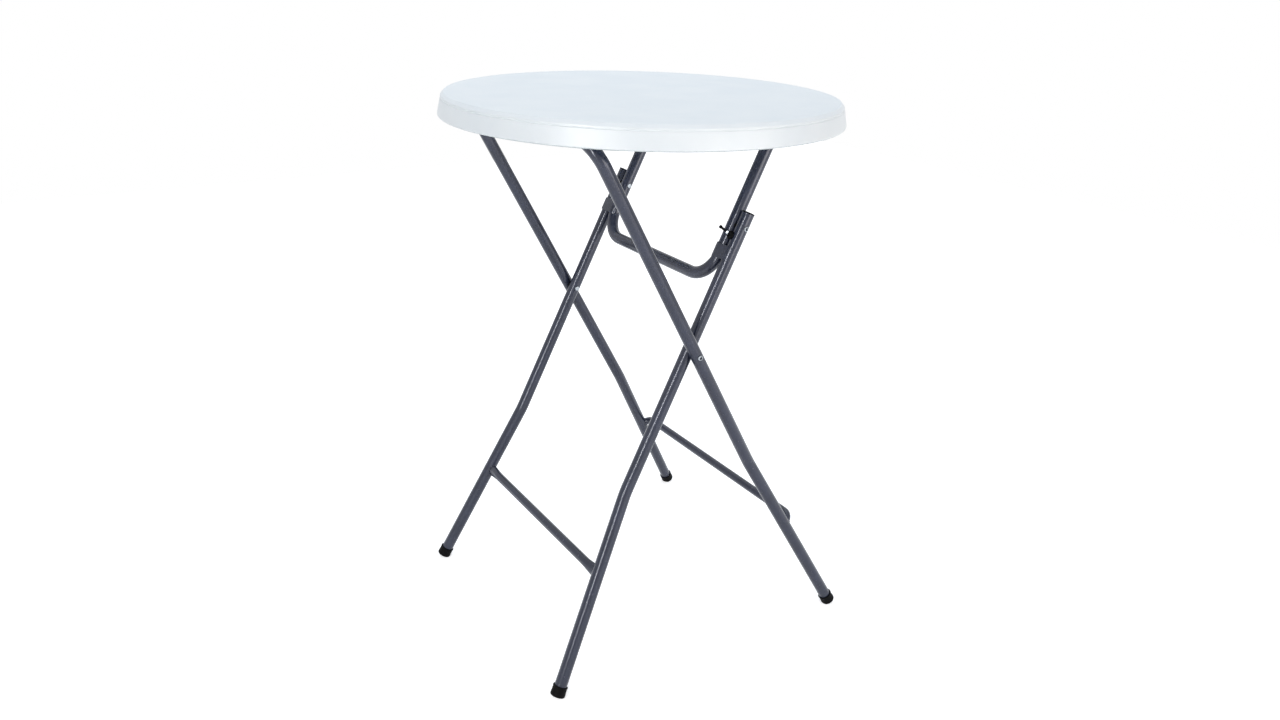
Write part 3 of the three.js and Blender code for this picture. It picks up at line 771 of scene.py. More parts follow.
# %% [markdown]
# ## The outer legs
#
# One tube makes both outer legs: it runs up from the front foot, bends under the top, crosses it
# as the pivot and comes down to the rear foot. Below the scissor pivot the legs splay outwards.
# The foot of each leg is a cap, so the tube stops a little above the floor. Both halves are the
# same, so only the route of one is written down.

# %% Measure the legs
outer_splay_height = 372 * MM
outer_foot_half_width = 318 * MM
inner_splay_height = 364 * MM
inner_foot_half_width = 280 * MM
splay_bend_radius = 160 * MM
foot_wall = 2.1 * MM
foot_height = 21 * MM
foot_base = 4 * MM
foot_edge_radius = 3 * MM
foot_sole_depth = 2.5 * MM

outer_rise = outer_axes.col[2].z
inner_rise = inner_axes.col[2].z


def leg_points(half_width, foot_half_width, rise, pivot_height, splay_height):
    """The splay bend and the floor point of a leg at +y, in its frame's own axes."""
    splay = Vector((0, half_width, -(pivot_height - splay_height) / rise))
    floor = Vector((0, foot_half_width, -pivot_height / rise))
    return splay, floor


def foot_lift(way, rise):
    """How far up the leg the cap's base lies, when the cap rests on its worn lower edge."""
    upright = way.z * rise
    edge_centre = tube_radius + seam + foot_wall - foot_edge_radius
    leaning = math.sqrt(1 - upright ** 2)
    return (edge_centre * leaning + foot_edge_radius - foot_sole_depth) / upright - foot_edge_radius


def mirror_y(point, side):
    return Vector((point.x, side * point.y, point.z))


def both_halves(half):
    """The route across a frame, from the points of its half at +y."""
    return [mirror_y(point, -1) for point in half] + half[::-1]


outer_splay, outer_floor = leg_points(
    outer_half_width, outer_foot_half_width, outer_rise, outer_pivot.z, outer_splay_height
)
inner_splay, inner_floor = leg_points(
    inner_half_width, inner_foot_half_width, inner_rise, scissor_pivot.z, inner_splay_height
)
outer_way = (outer_splay - outer_floor).normalized()
inner_way = (inner_splay - inner_floor).normalized()
outer_end = outer_floor + outer_way * (foot_lift(outer_way, outer_rise) + foot_base + seam)
inner_end = inner_floor + inner_way * (foot_lift(inner_way, inner_rise) + foot_base + seam)

print("the outer tube ends", round((outer_axes @ outer_end).z / MM, 1), "mm above the floor")

# %% Bend the outer legs
outer_corner_radius = 56 * MM
outer_half = [outer_end, outer_splay, Vector((0, outer_half_width, 0))]
outer_radii = [0, splay_bend_radius, outer_corner_radius]
outer_radii += outer_radii[::-1]
outer_legs = bend_tube(
    "outer_leg_tube", outer_axes, both_halves(outer_half), outer_radii, tube_radius
)
finish_tube(outer_legs, tube_wall, "outer_legs", "outer_leg_frame")

# %% [markdown]
# ## The inner legs
#
# The inner legs are two separate tubes. They pass up beside the outer legs, carry the fold bolt
# near their upper end and stop in an open end with a plug in it. A mirrored mesh would be inside
# out, so the route is mirrored instead, and each leg is bent along its own.

# %% Bend the inner legs
inner_overhang = 29 * MM
inner_top = Vector((0, inner_half_width, scissor_to_fold + inner_overhang))
for side_name, side in both_sides:
    points = [mirror_y(point, side) for point in (inner_end, inner_splay, inner_top)]
    leg = bend_tube(
        f"inner_leg_tube_{side_name}", inner_axes, points, [0, splay_bend_radius, 0], tube_radius
    )
    finish_tube(leg, tube_wall, "inner_legs", f"inner_leg_{side_name}")

# %% [markdown]
# ## The crossbars
#
# A thinner tube ties each pair of legs together. The outer bar stands off the legs, because it
# passes over the inner legs when the table is folded, so its ends bend down to them. The inner
# bar is straight. Each end is shaped to the leg and welded round.

# %% Fit and weld the outer crossbar
outer_bar_height = 213 * MM
outer_bar_clearance = 2 * MM
outer_bar_end_angle = math.radians(62)
outer_bar_bend_radius = 24 * MM


def half_width_at(splay, floor, along):
    """How far out a splayed leg is at a place along its frame."""
    return splay.y + (floor.y - splay.y) * (splay.z - along) / (splay.z - floor.z)


def fit_both_ends(piece, axes, ends, splay, way):
    """Fits the two ends of a crossbar to the legs; ends are given as (end, point before it)."""
    seams = []
    for end, before in ends:
        side = math.copysign(1, end.y)
        direction = (axes.to_3x3() @ (end - before)).normalized()
        leg_way = (axes.to_3x3() @ mirror_y(way, side)).normalized()
        leg_point = axes @ mirror_y(splay, side)
        seam_line = fit_end(piece, axes @ end, direction, leg_point, leg_way, tube_radius)
        seams.append((seam_line, True))
    return seams


outer_bar_along = -(outer_pivot.z - outer_bar_height) / outer_rise
outer_bar_reach = half_width_at(outer_splay, outer_floor, outer_bar_along)
outer_bar_offset = tube_radius + bar_radius + outer_bar_clearance
outer_bar_bend = outer_bar_reach - outer_bar_offset / math.tan(outer_bar_end_angle)
bar_half = [
    Vector((0, outer_bar_reach, outer_bar_along)),
    Vector((outer_bar_offset, outer_bar_bend, outer_bar_along)),
]
bar_route = both_halves(bar_half)
bar_radii = [0, outer_bar_bend_radius, outer_bar_bend_radius, 0]
outer_bar = bend_tube("outer_crossbar_tube", outer_axes, bar_route, bar_radii, bar_radius)
outer_seams = fit_both_ends(
    outer_bar, outer_axes, [bar_route[:2], bar_route[:1:-1]], outer_splay, outer_way
)
finish_tube(outer_bar, bar_wall, "outer_legs", "outer_crossbar")
weld("outer_crossbar_welds", "outer_legs", outer_seams)

# %% [markdown]
# ### The pressed ends of the inner bar
#
# The ends of this bar are pressed to an oval before they are welded, which gives the weld more
# length along the leg. The route gets extra points where the press works, and each point of the
# tube is then moved by a share that rises smoothly from nothing to the full press.

# %% Press, fit and weld the inner crossbar
inner_bar_height = 219 * MM
press_length = 42 * MM
press_spread = 3 * MM
press_flat = 3.2 * MM
press_steps = 12

inner_bar_along = -(scissor_pivot.z - inner_bar_height) / inner_rise
inner_bar_reach = half_width_at(inner_splay, inner_floor, inner_bar_along)
press_shares = [k / press_steps for k in range(press_steps + 1)]
press_half = [
    Vector((0, inner_bar_reach - share * (press_length + tube_radius), inner_bar_along))
    for share in press_shares
]
press_route = both_halves(press_half)
inner_bar = bend_tube("inner_crossbar_tube", inner_axes, press_route, None, bar_radius)
to_frame = inner_axes.inverted()
for vertex in inner_bar.data.vertices:
    local = to_frame @ vertex.co
    share = (abs(local.y) - (inner_bar_reach - tube_radius - press_length)) / press_length
    share = min(max(share, 0), 1)
    pressed = share * share * (3 - 2 * share)
    local.x *= 1 - pressed * press_flat / bar_radius
    above = local.z - inner_bar_along
    local.z = inner_bar_along + above * (1 + pressed * press_spread / bar_radius)
    vertex.co = inner_axes @ local
inner_seams = fit_both_ends(
    inner_bar, inner_axes, [press_route[:2], press_route[:-3:-1]], inner_splay, inner_way
)
finish_tube(inner_bar, bar_wall, "inner_legs", "inner_crossbar")
weld("inner_crossbar_welds", "inner_legs", inner_seams)

# %% [markdown]
# ## The strut
#
# The strut is a U of tube. Its arms end on a short axle tube under the top, shaped round it and
# welded; the axle turns in two straps. Half way down, the fold joint ties the arms to the inner
# legs. Bent plates welded to the arms rest on the inner legs when the table stands.

# %% Bend and weld the strut
strut_tail = 116.6 * MM
strut_corner_radius = 60 * MM
axle_end = strut_half_width + tube_radius

strut_top = Vector((0, strut_half_width, 0))
strut_corner = Vector((0, strut_half_width, -strut_arm - strut_tail))
strut_route = both_halves([strut_top, strut_corner])
strut_radii = [0, strut_corner_radius, strut_corner_radius, 0]
strut = bend_tube("strut_tube", strut_axes, strut_route, strut_radii, tube_radius)
strut_way = strut_axes.col[2].to_3d()
level_way = Vector((0, 1, 0))
strut_seams = []
for _, side in both_sides:
    arm_end = strut_axes @ mirror_y(strut_top, side)
    seam_line = fit_end(strut, arm_end, strut_way, strut_pivot, level_way, tube_radius)
    strut_seams.append((seam_line, True))
finish_tube(strut, tube_wall, "strut", "strut_frame")

axle_route = both_halves([Vector((0, axle_end, 0))])
axle = bend_tube("strut_axle_tube", strut_axes, axle_route, None, tube_radius)
finish_tube(axle, tube_wall, "strut", "strut_axle")

# %% [markdown]
# ### The rests
#
# Each rest is a strip bent over two tubes: its outline follows the strut's arm, runs straight to
# the inner leg and follows that. It is welded only where it lies on the strut's arm, because the
# inner leg has to lift off.

# %% Cut, bend and weld the rests
rest_distance = 57 * MM
rest_length = 28 * MM
rest_thickness = 2 * MM
rest_wrap = math.radians(60)
bead_lift = 0.2 * MM
bead_margin = 0.12

up = math.pi / 2
rest_inner = tube_radius + seam
rest_outer = rest_inner + rest_thickness
rest_outline = (
    arc(strut_half_width, rest_inner, up + rest_wrap, up)
    + arc(inner_half_width, rest_inner, up, up - rest_wrap)
    + arc(inner_half_width, rest_outer, up - rest_wrap, up)
    + arc(strut_half_width, rest_outer, up, up + rest_wrap)
)
rest_seams = []
for side_name, side in both_sides:
    across_tubes = Matrix(((0, -1, 0), (side, 0, 0), (0, 0, side))).to_4x4()
    place = strut_axes @ Matrix.Translation((0, 0, -strut_arm - rest_distance)) @ across_tubes
    half_length = rest_length / 2
    rest = cut_plate(
        f"rest_plate_{side_name}", rest_outline, -half_length, half_length, place, 0.5 * MM
    )
    install(rest, "strut", powder_coat, "coated_steel", f"strut_rest_{side_name}")
    edge = arc(
        strut_half_width, rest_inner + bead_lift, up + rest_wrap * 0.97, up + bead_margin
    )
    for height in (-half_length, half_length):
        rest_seams.append(([place @ Vector((*p, height)) for p in edge], False))
weld("strut_welds", "strut", strut_seams + rest_seams)

# %% [markdown]
# ## The feet and the plugs
#
# Each leg stands in a black cap that is pushed over the tube. The cap has a thicker lip at its
# mouth, a rounded lower edge and a worn sole. The lathe turns it upright, and then a plane cuts
# the sole, because the leg leans and the floor doesn't. The plugs close the open upper ends of
# the inner legs and the ends of the axle.

# %% Mould the feet
lip_height = 2.2 * MM
lip_depth = 0.45 * MM
heel_share = 0.32
waist_share = 0.36


def place_on(origin, up_way):
    """A place whose z axis runs along up_way."""
    turn = up_way.to_track_quat("Z", "Y").to_matrix().to_4x4()
    return Matrix.Translation(origin) @ turn


def mould_foot(name, axes, floor_point, way, rise, body, node):
    bore = tube_radius + seam
    outside = bore + foot_wall
    waist = outside - lip_depth
    profile = round_off([
        (0, 0, 0), (outside, 0, foot_edge_radius), (outside, foot_height * heel_share, 0.6 * MM),
        (waist, foot_height * waist_share, 0.6 * MM),
        (waist, foot_height - lip_height - lip_depth, 0.4 * MM),
        (outside, foot_height - lip_height, 0.5 * MM), (outside, foot_height, 0.9 * MM),
        (bore, foot_height, 0.5 * MM), (bore, foot_base, 1 * MM), (0, foot_base, 0),
    ], steps=5)
    base = floor_point + way * foot_lift(way, rise)
    place = place_on(axes @ base, (axes.to_3x3() @ way).normalized())
    foot = turn_on_lathe(name, profile, place, sides=72)
    with opened(foot.data) as work:
        worn = bmesh.ops.bisect_plane(
            work, geom=work.verts[:] + work.edges[:] + work.faces[:],
            plane_co=(0, 0, 0), plane_no=(0, 0, -1), clear_outer=True,
        )
        rim = [item for item in worn["geom_cut"] if isinstance(item, bmesh.types.BMEdge)]
        bmesh.ops.holes_fill(work, edges=rim)
    crease(foot, 38)
    return install(foot, body, black_polyethylene, "black_plastic", node)


for side_name, side in both_sides:
    mould_foot(
        f"outer_foot_cap_{side_name}", outer_axes, mirror_y(outer_floor, side),
        mirror_y(outer_way, side), outer_rise, "outer_legs", f"outer_foot_{side_name}",
    )
    mould_foot(
        f"inner_foot_cap_{side_name}", inner_axes, mirror_y(inner_floor, side),
        mirror_y(inner_way, side), inner_rise, "inner_legs", f"inner_foot_{side_name}",
    )

# %% [markdown]
# ### The plugs
#
# A plug is a flange as wide as the tube with a stem that fits inside. Ribs round the stem bend a
# little as it is driven in, and then hold it. Every part of it is round, ribs too, so one profile
# on the lathe makes it all.

# %% Mould the plugs
plug_depth = 14 * MM
leg_plug_flange = 2.4 * MM
axle_plug_flange = 1.2 * MM
stem_radius = tube_radius - tube_wall - seam
rib_count = 4
rib_spacing = 3 * MM
rib_depth = 0.25 * MM


def mould_plug(name, place, flange, body, node):
    """A ribbed plug: the flange covers the tube's rim and the ribs grip inside."""
    low = -plug_depth
    core = stem_radius - 2 * rib_depth
    corners = [(0, low, 0), (core, low, 0.3 * MM)]
    for k in range(rib_count):
        foot = low + 1.5 * MM + k * rib_spacing
        corners += [(core, foot, 0), (stem_radius, foot + 0.6 * MM, 0), (core, foot + 1.4 * MM, 0)]
    corners += [
        (stem_radius - rib_depth, seam, 0), (tube_radius, seam, 0.2 * MM),
        (tube_radius, seam + flange, min(0.9 * MM, flange / 2)), (0, seam + flange, 0),
    ]
    plug = turn_on_lathe(name, round_off(corners), place, sides=64)
    return install(plug, body, black_polyethylene, "black_plastic", node)


for side_name, side in both_sides:
    top_place = inner_axes @ Matrix.Translation(mirror_y(inner_top, side))
    mould_plug(
        f"inner_leg_plug_{side_name}", top_place, leg_plug_flange,
        "inner_legs", f"inner_plug_{side_name}",
    )
    axle_place = place_on(strut_pivot + Vector((0, side * axle_end, 0)), Vector((0, side, 0)))
    mould_plug(
        f"axle_plug_{side_name}", axle_place, axle_plug_flange, "strut", f"strut_plug_{side_name}"
    )

# %% [markdown]
# ## The pivots
#
# The scissor pivots are semi-tubular rivets: a low round head whose middle is open, seen as a
# bright ring. The fold pivots are bolts with a socket, and a sleeve nut meets each from inside. A
# nylon washer keeps the tubes apart at each pivot. Each of them is one profile on the lathe, and
# they share the shape of their heads.

# %% Draw the heads
pin_radius = 4 * MM
head_radius = 5.25 * MM
head_height = 2.4 * MM
tail_height = 1.9 * MM
socket_radius = 2.9 * MM
socket_depth = 5 * MM


def head_profile(face, height):
    """The crown of a head with a socket, from the shank's edge to the axis."""
    crown = face + height
    return [
        (head_radius, face, 0.3 * MM), (head_radius, face + height * 0.45, 0.8 * MM),
        (head_radius * 0.72, crown, 0.7 * MM), (socket_radius, crown, 0.35 * MM),
        (socket_radius * 0.94, crown - socket_depth, 0.25 * MM), (0, crown - socket_depth, 0),
    ]


def tail_profile(face):
    """The far head, from the axis to the shank's edge."""
    return [
        (0, face - tail_height, 0), (head_radius * 0.8, face - tail_height, 0.8 * MM),
        (head_radius, face - tail_height * 0.5, 0.6 * MM), (head_radius, face, 0.3 * MM),
    ]


print("heads are", head_radius / MM * 2, "mm across, sockets", socket_radius / MM * 2, "mm")


# %% Turn the rivets, bolts, nuts and washers
washer_radius = 8 * MM


def outward(axes, along, side):
    """A place on the pivot line at a distance along a frame, with z pointing out to one side."""
    return place_on(axes @ Vector((0, 0, along)), Vector((0, side, 0)))


for side_name, side in both_sides:
    scissor_place = outward(outer_axes, -outer_arm, side)
    outside = outer_half_width + tube_radius + seam
    inside = inner_half_width - tube_radius - seam
    rivet = turn_on_lathe(f"scissor_pin_{side_name}", round_off(
        tail_profile(inside) + [(pin_radius, inside, 0), (pin_radius, outside, 0)]
        + head_profile(outside, head_height)
    ), scissor_place, sides=64)
    install(rivet, "outer_legs", zinc_plate, "zinc_steel", f"scissor_rivet_{side_name}")

    fold_place = outward(inner_axes, scissor_to_fold, side)
    meeting = strut_half_width + tube_radius
    bolt_face = inner_half_width + tube_radius + seam
    bolt = turn_on_lathe(f"fold_pin_{side_name}", round_off(
        [(0, meeting + seam, 0), (pin_radius, meeting + seam, 0.3 * MM), (pin_radius, bolt_face, 0)]
        + head_profile(bolt_face, tail_height)
    ), fold_place, sides=64)
    install(bolt, "inner_legs", zinc_plate, "zinc_steel", f"fold_bolt_{side_name}")

    nut_face = strut_half_width - tube_radius - seam
    nut = turn_on_lathe(f"fold_sleeve_{side_name}", round_off(
        tail_profile(nut_face)
        + [(pin_radius, nut_face, 0), (pin_radius, meeting, 0.3 * MM), (0, meeting, 0)]
    ), fold_place, sides=64)
    install(nut, "strut", zinc_plate, "zinc_steel", f"fold_nut_{side_name}")

    for kind, place, face, body in (
        ("scissor", scissor_place, inner_half_width + tube_radius, "outer_legs"),
        ("fold", fold_place, meeting, "inner_legs"),
    ):
        low, high = face + seam, face + side_gap - seam
        bore = pin_radius + seam
        washer = turn_on_lathe(f"{kind}_spacer_{side_name}", round_off([
            (bore, low, 0.2 * MM), (washer_radius, low, 0.5 * MM),
            (washer_radius, high, 0.5 * MM), (bore, high, 0.2 * MM),
        ], closed=True), place, sides=64, ring=True)
        install(washer, body, black_nylon, "nylon", f"{kind}_washer_{side_name}")

# %% [markdown]
# ## The latch
#
# At the front, a black lever turns on a rivet through the wall of the strut arm. Its tongue lies
# under the edge of a round catch on the inner leg, and keeps the fold joint straight. The lever is
# a moulded plate with a round handle, so a turned bar is laid over a cut plate.

# %% Cut the lever
latch_distance = 19 * MM
latch_tilt = math.radians(36)
latch_pin_radius = 2 * MM
turn_gap = 0.4 * MM
drill_reach = 100 * MM
lever_thickness = 2.4 * MM
lever_base = tube_radius + seam
lever_top = lever_base + lever_thickness

off_tubes = Matrix(((0, 0, -1), (-1, 0, 0), (0, 1, 0))).to_4x4()
latch_place = (
    strut_axes @ Matrix.Translation((0, -strut_half_width, -strut_arm - latch_distance))
    @ Matrix.Rotation(latch_tilt, 4, "Z") @ off_tubes
)
# The tongue is at +x and the handle's root at -x; each corner is (x, y, radius) in millimetres.
lever_corners = [
    (8.6, -3, 1), (8.6, 3, 1), (1.2, 4.6, 3), (-4.5, 4, 3),
    (-10, 4.6, 3), (-9, 0.9, 2), (-4.6, -1.4, 3), (-1, -4.9, 3),
]
lever_outline = round_off(
    [(x * MM, y * MM, radius * MM) for x, y, radius in lever_corners], closed=True, steps=6
)
lever = cut_plate("latch_arm", lever_outline, lever_base, lever_top, latch_place)
lever_bore = drill("bore", latch_pin_radius + seam, 0, 2 * lever_top, latch_place)
lever = soften(cut_away(lever, lever_bore), 0.35 * MM)
print("lever plate:", len(lever.data.polygons), "faces")

# %% Turn the handle
# The handle is a round-edged bar that swells to a knob, turned about its own length.
handle_width = 6.2 * MM
handle_start = Vector((-7 * MM, 2.2 * MM))
handle_end = Vector((-17.5 * MM, 5 * MM))
handle_length = (handle_end - handle_start).length
handle_way = latch_place.to_3x3() @ (handle_end - handle_start).to_3d()
handle_place = place_on(
    latch_place @ Vector((*handle_start, lever_base + handle_width / 2)), handle_way
)
handle_profile = round_off([
    (0, -1 * MM, 0), (1.6 * MM, -1 * MM, 0.8 * MM), (handle_width * 0.42, 2 * MM, 1 * MM),
    (handle_width * 0.38, handle_length - 4.5 * MM, 2 * MM),
    (handle_width * 0.56, handle_length - 1.5 * MM, 1 * MM),
    (handle_width * 0.5, handle_length + 1.6 * MM, 1.3 * MM),
    (0, handle_length + 1.9 * MM, 0),
], steps=5)
handle = turn_on_lathe("handle", handle_profile, handle_place, sides=32)
lever = crease(merge("latch_arm", [lever, handle]), 40)
install(lever, "latch", black_nylon, "black_plastic", "latch_lever")

# %% Drive the latch's rivet
tail_radius = 2.8 * MM
tail_low = 1.2 * MM
cap_radius = 3.8 * MM
cap_height = 1.4 * MM
cap_dimple = 0.8 * MM
wall_inside = math.sqrt((tube_radius - tube_wall) ** 2 - tail_radius ** 2) - seam
cap_low = lever_top + seam
cap_top = cap_low + cap_height
latch_rivet = turn_on_lathe("latch_pin", round_off([
    (0, wall_inside - tail_low, 0), (tail_radius, wall_inside - tail_low, 0.3 * MM),
    (tail_radius, wall_inside, 0.2 * MM), (latch_pin_radius, wall_inside, 0),
    (latch_pin_radius, cap_low, 0), (cap_radius, cap_low, 0.2 * MM),
    (cap_radius, cap_low + cap_height * 0.5, 0.3 * MM), (cap_radius - 0.9 * MM, cap_top, 0.5 * MM),
    (1.9 * MM, cap_top, 0.2 * MM), (1.8 * MM, cap_top - cap_dimple, 0.1 * MM),
    (0, cap_top - cap_dimple, 0),
]), latch_place)
install(latch_rivet, "strut", zinc_plate, "zinc_steel", "latch_rivet")

# %% [markdown]
# ### The catch
#
# The catch is a moulded button on a shank in the leg. It overhangs the leg on the lever's side,
# and its foot is cut to the round of the leg by taking a bar away, so that it sits without a gap.

# %% Make the catch
catch_radius = 8.25 * MM
catch_offset = 21.5 * MM
catch_height = 6.5 * MM
catch_drop = 2.5 * MM
shank_radius = 2 * MM
shank_shift = 3.5 * MM
catch_reach = catch_offset - catch_radius
catch_base = (
    lever_top / math.cos(latch_tilt) - catch_reach * math.tan(latch_tilt) + turn_gap
)
catch_top = catch_base + catch_height
latch_along = scissor_to_fold - latch_distance
catch_middle = Vector((0, -strut_half_width - catch_offset, latch_along - catch_drop))
catch_place = inner_axes @ Matrix.Translation(catch_middle) @ off_tubes
catch = turn_on_lathe("catch_button", round_off([
    (0, catch_base, 0), (catch_radius, catch_base, 0.3 * MM), (catch_radius, catch_top, 1.6 * MM),
    (catch_radius * 0.45, catch_top, 0.6 * MM),
    (catch_radius * 0.4, catch_top - 0.5 * MM, 0.3 * MM), (0, catch_top - 0.5 * MM, 0),
], steps=5), catch_place, sides=64)
leg_line = inner_axes @ Matrix.Translation((0, -inner_half_width, latch_along))
leg_skin = drill("leg_skin", lever_base, -drill_reach, drill_reach, leg_line, sides=128)
catch = crease(cut_away(catch, leg_skin))
shank = drill(
    "shank", shank_radius, catch_base - 3 * MM, catch_top - 1.5 * MM,
    catch_place @ Matrix.Translation((-shank_shift, 0, 0)), sides=24,
)
catch = crease(merge("catch_button", [catch, shank]), 40)
install(catch, "inner_legs", black_nylon, "black_plastic", "latch_catch")

# %% [markdown]
# ## The straps and their screws
#
# Four bent straps of zinc-plated strip hold the two pivot tubes under the top. Each is screwed to
# the top with two pan-head screws. A strap is the same all along its width, so its outline is
# drawn once, seen along the pivot, and given that width.

# %% Bend the straps
strap_thickness = 2 * MM
strap_width = 24 * MM
strap_flange = 20 * MM
strap_inset = 16 * MM
plate_thickness = 12 * MM
screw_depth = 9 * MM
screw_radius = 2.1 * MM
underside = table_height - plate_thickness
strap_y = strut_half_width - tube_radius - strap_inset
strap_inner = tube_radius + turn_gap
strap_outer = strap_inner + strap_thickness
strap_reach = strap_outer + strap_flange
screw_reach = strap_outer + strap_flange / 2
seat = underside - seam - outer_pivot.z

strap_outline = round_off([
    (-strap_reach, seat, 0), (-strap_reach, seat - strap_thickness, 0),
    (-strap_outer, seat - strap_thickness, 1 * MM),
    (-strap_outer, 0, 0),
])[:-1]
strap_outline += arc(0, strap_outer, math.pi, 2 * math.pi, 24)
strap_outline += round_off([
    (strap_outer, 0, 0), (strap_outer, seat - strap_thickness, 1 * MM),
    (strap_reach, seat - strap_thickness, 0), (strap_reach, seat, 0),
    (strap_inner, seat, 2.5 * MM), (strap_inner, 0, 0),
])[1:-1]
strap_outline += arc(0, strap_inner, 0, -math.pi, 24)
strap_outline += round_off([
    (-strap_inner, 0, 0), (-strap_inner, seat, 2.5 * MM), (-strap_reach, seat, 0),
])[1:-1]
for owner, pivot in (("outer", outer_pivot), ("strut", strut_pivot)):
    for side_name, side in both_sides:
        middle = Vector((pivot.x, side * strap_y, pivot.z))
        place = Matrix.Translation(middle) @ Matrix.Rotation(math.pi / 2, 4, "X")
        name = f"{owner}_pivot_strap_{side_name}"
        strap = cut_plate(name, strap_outline, -strap_width / 2, strap_width / 2, place)
        holes = [
            drill("hole", screw_radius + seam, -screw_depth, screw_depth, Matrix.Translation(
                (pivot.x + way * screw_reach, side * strap_y, underside)
            ))
            for way in (-1, 1)
        ]
        strap = crease(soften(cut_away(strap, *holes), 0.35 * MM))
        install(strap, "top", zinc_plate, "zinc_steel", f"{owner}_strap_{side_name}")

# %% [markdown]
# ### The screws
#
# One screw is modelled, with its thread as rings and a cross recess. A small tree puts it at all
# eight places and turns each a little further, because no one lines up the slots of screws.

# %% Model one screw
screw_head_radius = 4.2 * MM
screw_head_height = 2.4 * MM
thread_pitch = 1.6 * MM
recess_half_length = 2.3 * MM
recess_half_width = 0.45 * MM
recess_depth = 1.3 * MM


def make_screw():
    """A pan-head screw that points up, with a thread and a cross recess."""
    head_seat = -seam - strap_thickness - seam
    low = head_seat - screw_head_height
    corners = [
        (0, low, 0), (screw_head_radius * 0.72, low, 1 * MM),
        (screw_head_radius, low + screw_head_height * 0.55, 0.7 * MM),
        (screw_head_radius, head_seat, 0.2 * MM), (screw_radius, head_seat, 0),
    ]
    turns = int((screw_depth - 2 * screw_radius - head_seat) / thread_pitch)
    for k in range(turns):
        start = head_seat + (k + 0.5) * thread_pitch
        corners += [(screw_radius * 0.8, start, 0), (screw_radius, start + thread_pitch * 0.35, 0)]
    corners += [(screw_radius * 0.8, screw_depth - screw_radius, 0), (0, screw_depth, 0)]
    screw = turn_on_lathe("screw_pattern", round_off(corners), Matrix.Identity(4), sides=32)
    slot = [
        (x * recess_half_length, y * recess_half_width)
        for x, y in ((-1, -1), (1, -1), (1, 1), (-1, 1))
    ]
    slots = [
        cut_plate("slot", slot, low - 1 * MM, low + recess_depth, Matrix.Rotation(turn, 4, "Z"))
        for turn in (0, math.pi / 2)
    ]
    return crease(cut_away(screw, *slots))


screw_pattern = make_screw()
print("one screw:", len(screw_pattern.data.polygons), "faces")


# %% Drive the screws
def build_screw_tree():
    tree, ids, given = new_tree(
        "driven_screws",
        screw=("NodeSocketObject",),
        turn_step=("NodeSocketFloat", 0.7),
        finish=("NodeSocketMaterial",),
    )
    one = add_node(tree, "GeometryNodeObjectInfo", {"Object": given["screw"], "As Instance": True})
    index = add_node(tree, "GeometryNodeInputIndex")
    angle = add_node(tree, "ShaderNodeMath", {
        0: index.outputs[0], 1: given["turn_step"],
    }, operation="MULTIPLY")
    turn = add_node(tree, "ShaderNodeCombineXYZ", {"Z": angle.outputs[0]})
    points = add_node(tree, "GeometryNodeInstanceOnPoints", {
        "Points": given["route"], "Instance": one.outputs["Geometry"], "Rotation": turn.outputs[0],
    })
    end_tree(tree, points.outputs[0], given["finish"])
    return tree, ids


screw_tree, screw_ids = build_screw_tree()
screw_places = [
    (pivot.x + way * screw_reach, side * strap_y, underside)
    for pivot in (outer_pivot, strut_pivot) for side in (-1, 1) for way in (-1, 1)
]
screws = route_piece("pivot_strap_screws", screw_places)
run_tree(screws, screw_tree, screw_ids, screw=screw_pattern, finish=zinc_plate)
bpy.data.objects.remove(screw_pattern)
install(crease(screws), "top", zinc_plate, "zinc_steel", *[
    f"{owner}_screw_{side_name}_{end}"
    for owner in ("outer", "strut") for side_name, _ in both_sides for end in ("left", "right")
])

# %% [markdown]
# ## The top
#
# The top is one hollow moulding. From above it is a plain disc. Its edge is a small bevel with soft
# corners, and under that runs a fine step, where the two halves of the mould met. The rim slopes
# outwards a little on its way down, so that the moulding leaves the mould. The shell is turned.

# %% Turn the shell of the top
top_radius = (cad_box[1].x - cad_box[0].x) / 2
rim_width = 15 * MM
rim_draft = 7 * MM
top_edge_radius = 9 * MM
rim_edge_radius = 3.5 * MM
recess_draft = 4 * MM
recess_corner_room = 9 * MM
step_depth = 1.2 * MM
step_height = 2.8 * MM
bevel_reach = 6.4 * MM
bevel_drop = 6 * MM
bevel_lean = 0.6 * MM

edge_high = table_height - top_edge_radius
edge_out = top_radius - rim_draft
field_radius = top_radius - rim_width - recess_draft - recess_corner_room
top_profile = round_off([
    (field_radius, underside, 0),
    (top_radius - rim_width - recess_draft, underside, 4 * MM),
    (top_radius - rim_width, rim_low, rim_edge_radius),
    (top_radius, rim_low, rim_edge_radius),
    (edge_out + 0.5 * MM, edge_high - step_height, 0.3 * MM),
    (edge_out - step_depth, edge_high - step_height * 0.45, 0.3 * MM),
    (edge_out, edge_high, 0.3 * MM),
    (edge_out - bevel_lean, table_height - bevel_drop, 1.8 * MM),
    (edge_out - bevel_reach, table_height, 1 * MM),
    (0.9 * top_radius, table_height, 0),
], steps=8)
top_profile += [Vector((share * top_radius, table_height)) for share in (0.75, 0.5, 0.25, 0)]
top_sides = 192
top_shell = turn_on_lathe("top_shell", top_profile, Matrix.Identity(4), sides=top_sides)
print("shell:", len(top_shell.data.polygons), "faces")

# %% [markdown]
# ### The dimples below
#
# The lower wall is pressed into rows of dimples, which tie it to the upper one and make the top
# stiff. They stand in a honeycomb, and the straps need flat ground, so no dimple lies near one.
# A tree could copy one dimple to every place, but the wall has to stay one skin without a cut. So
# it is drawn as one mesh: a flat sheet with round holes, and rings that go up into each hole.

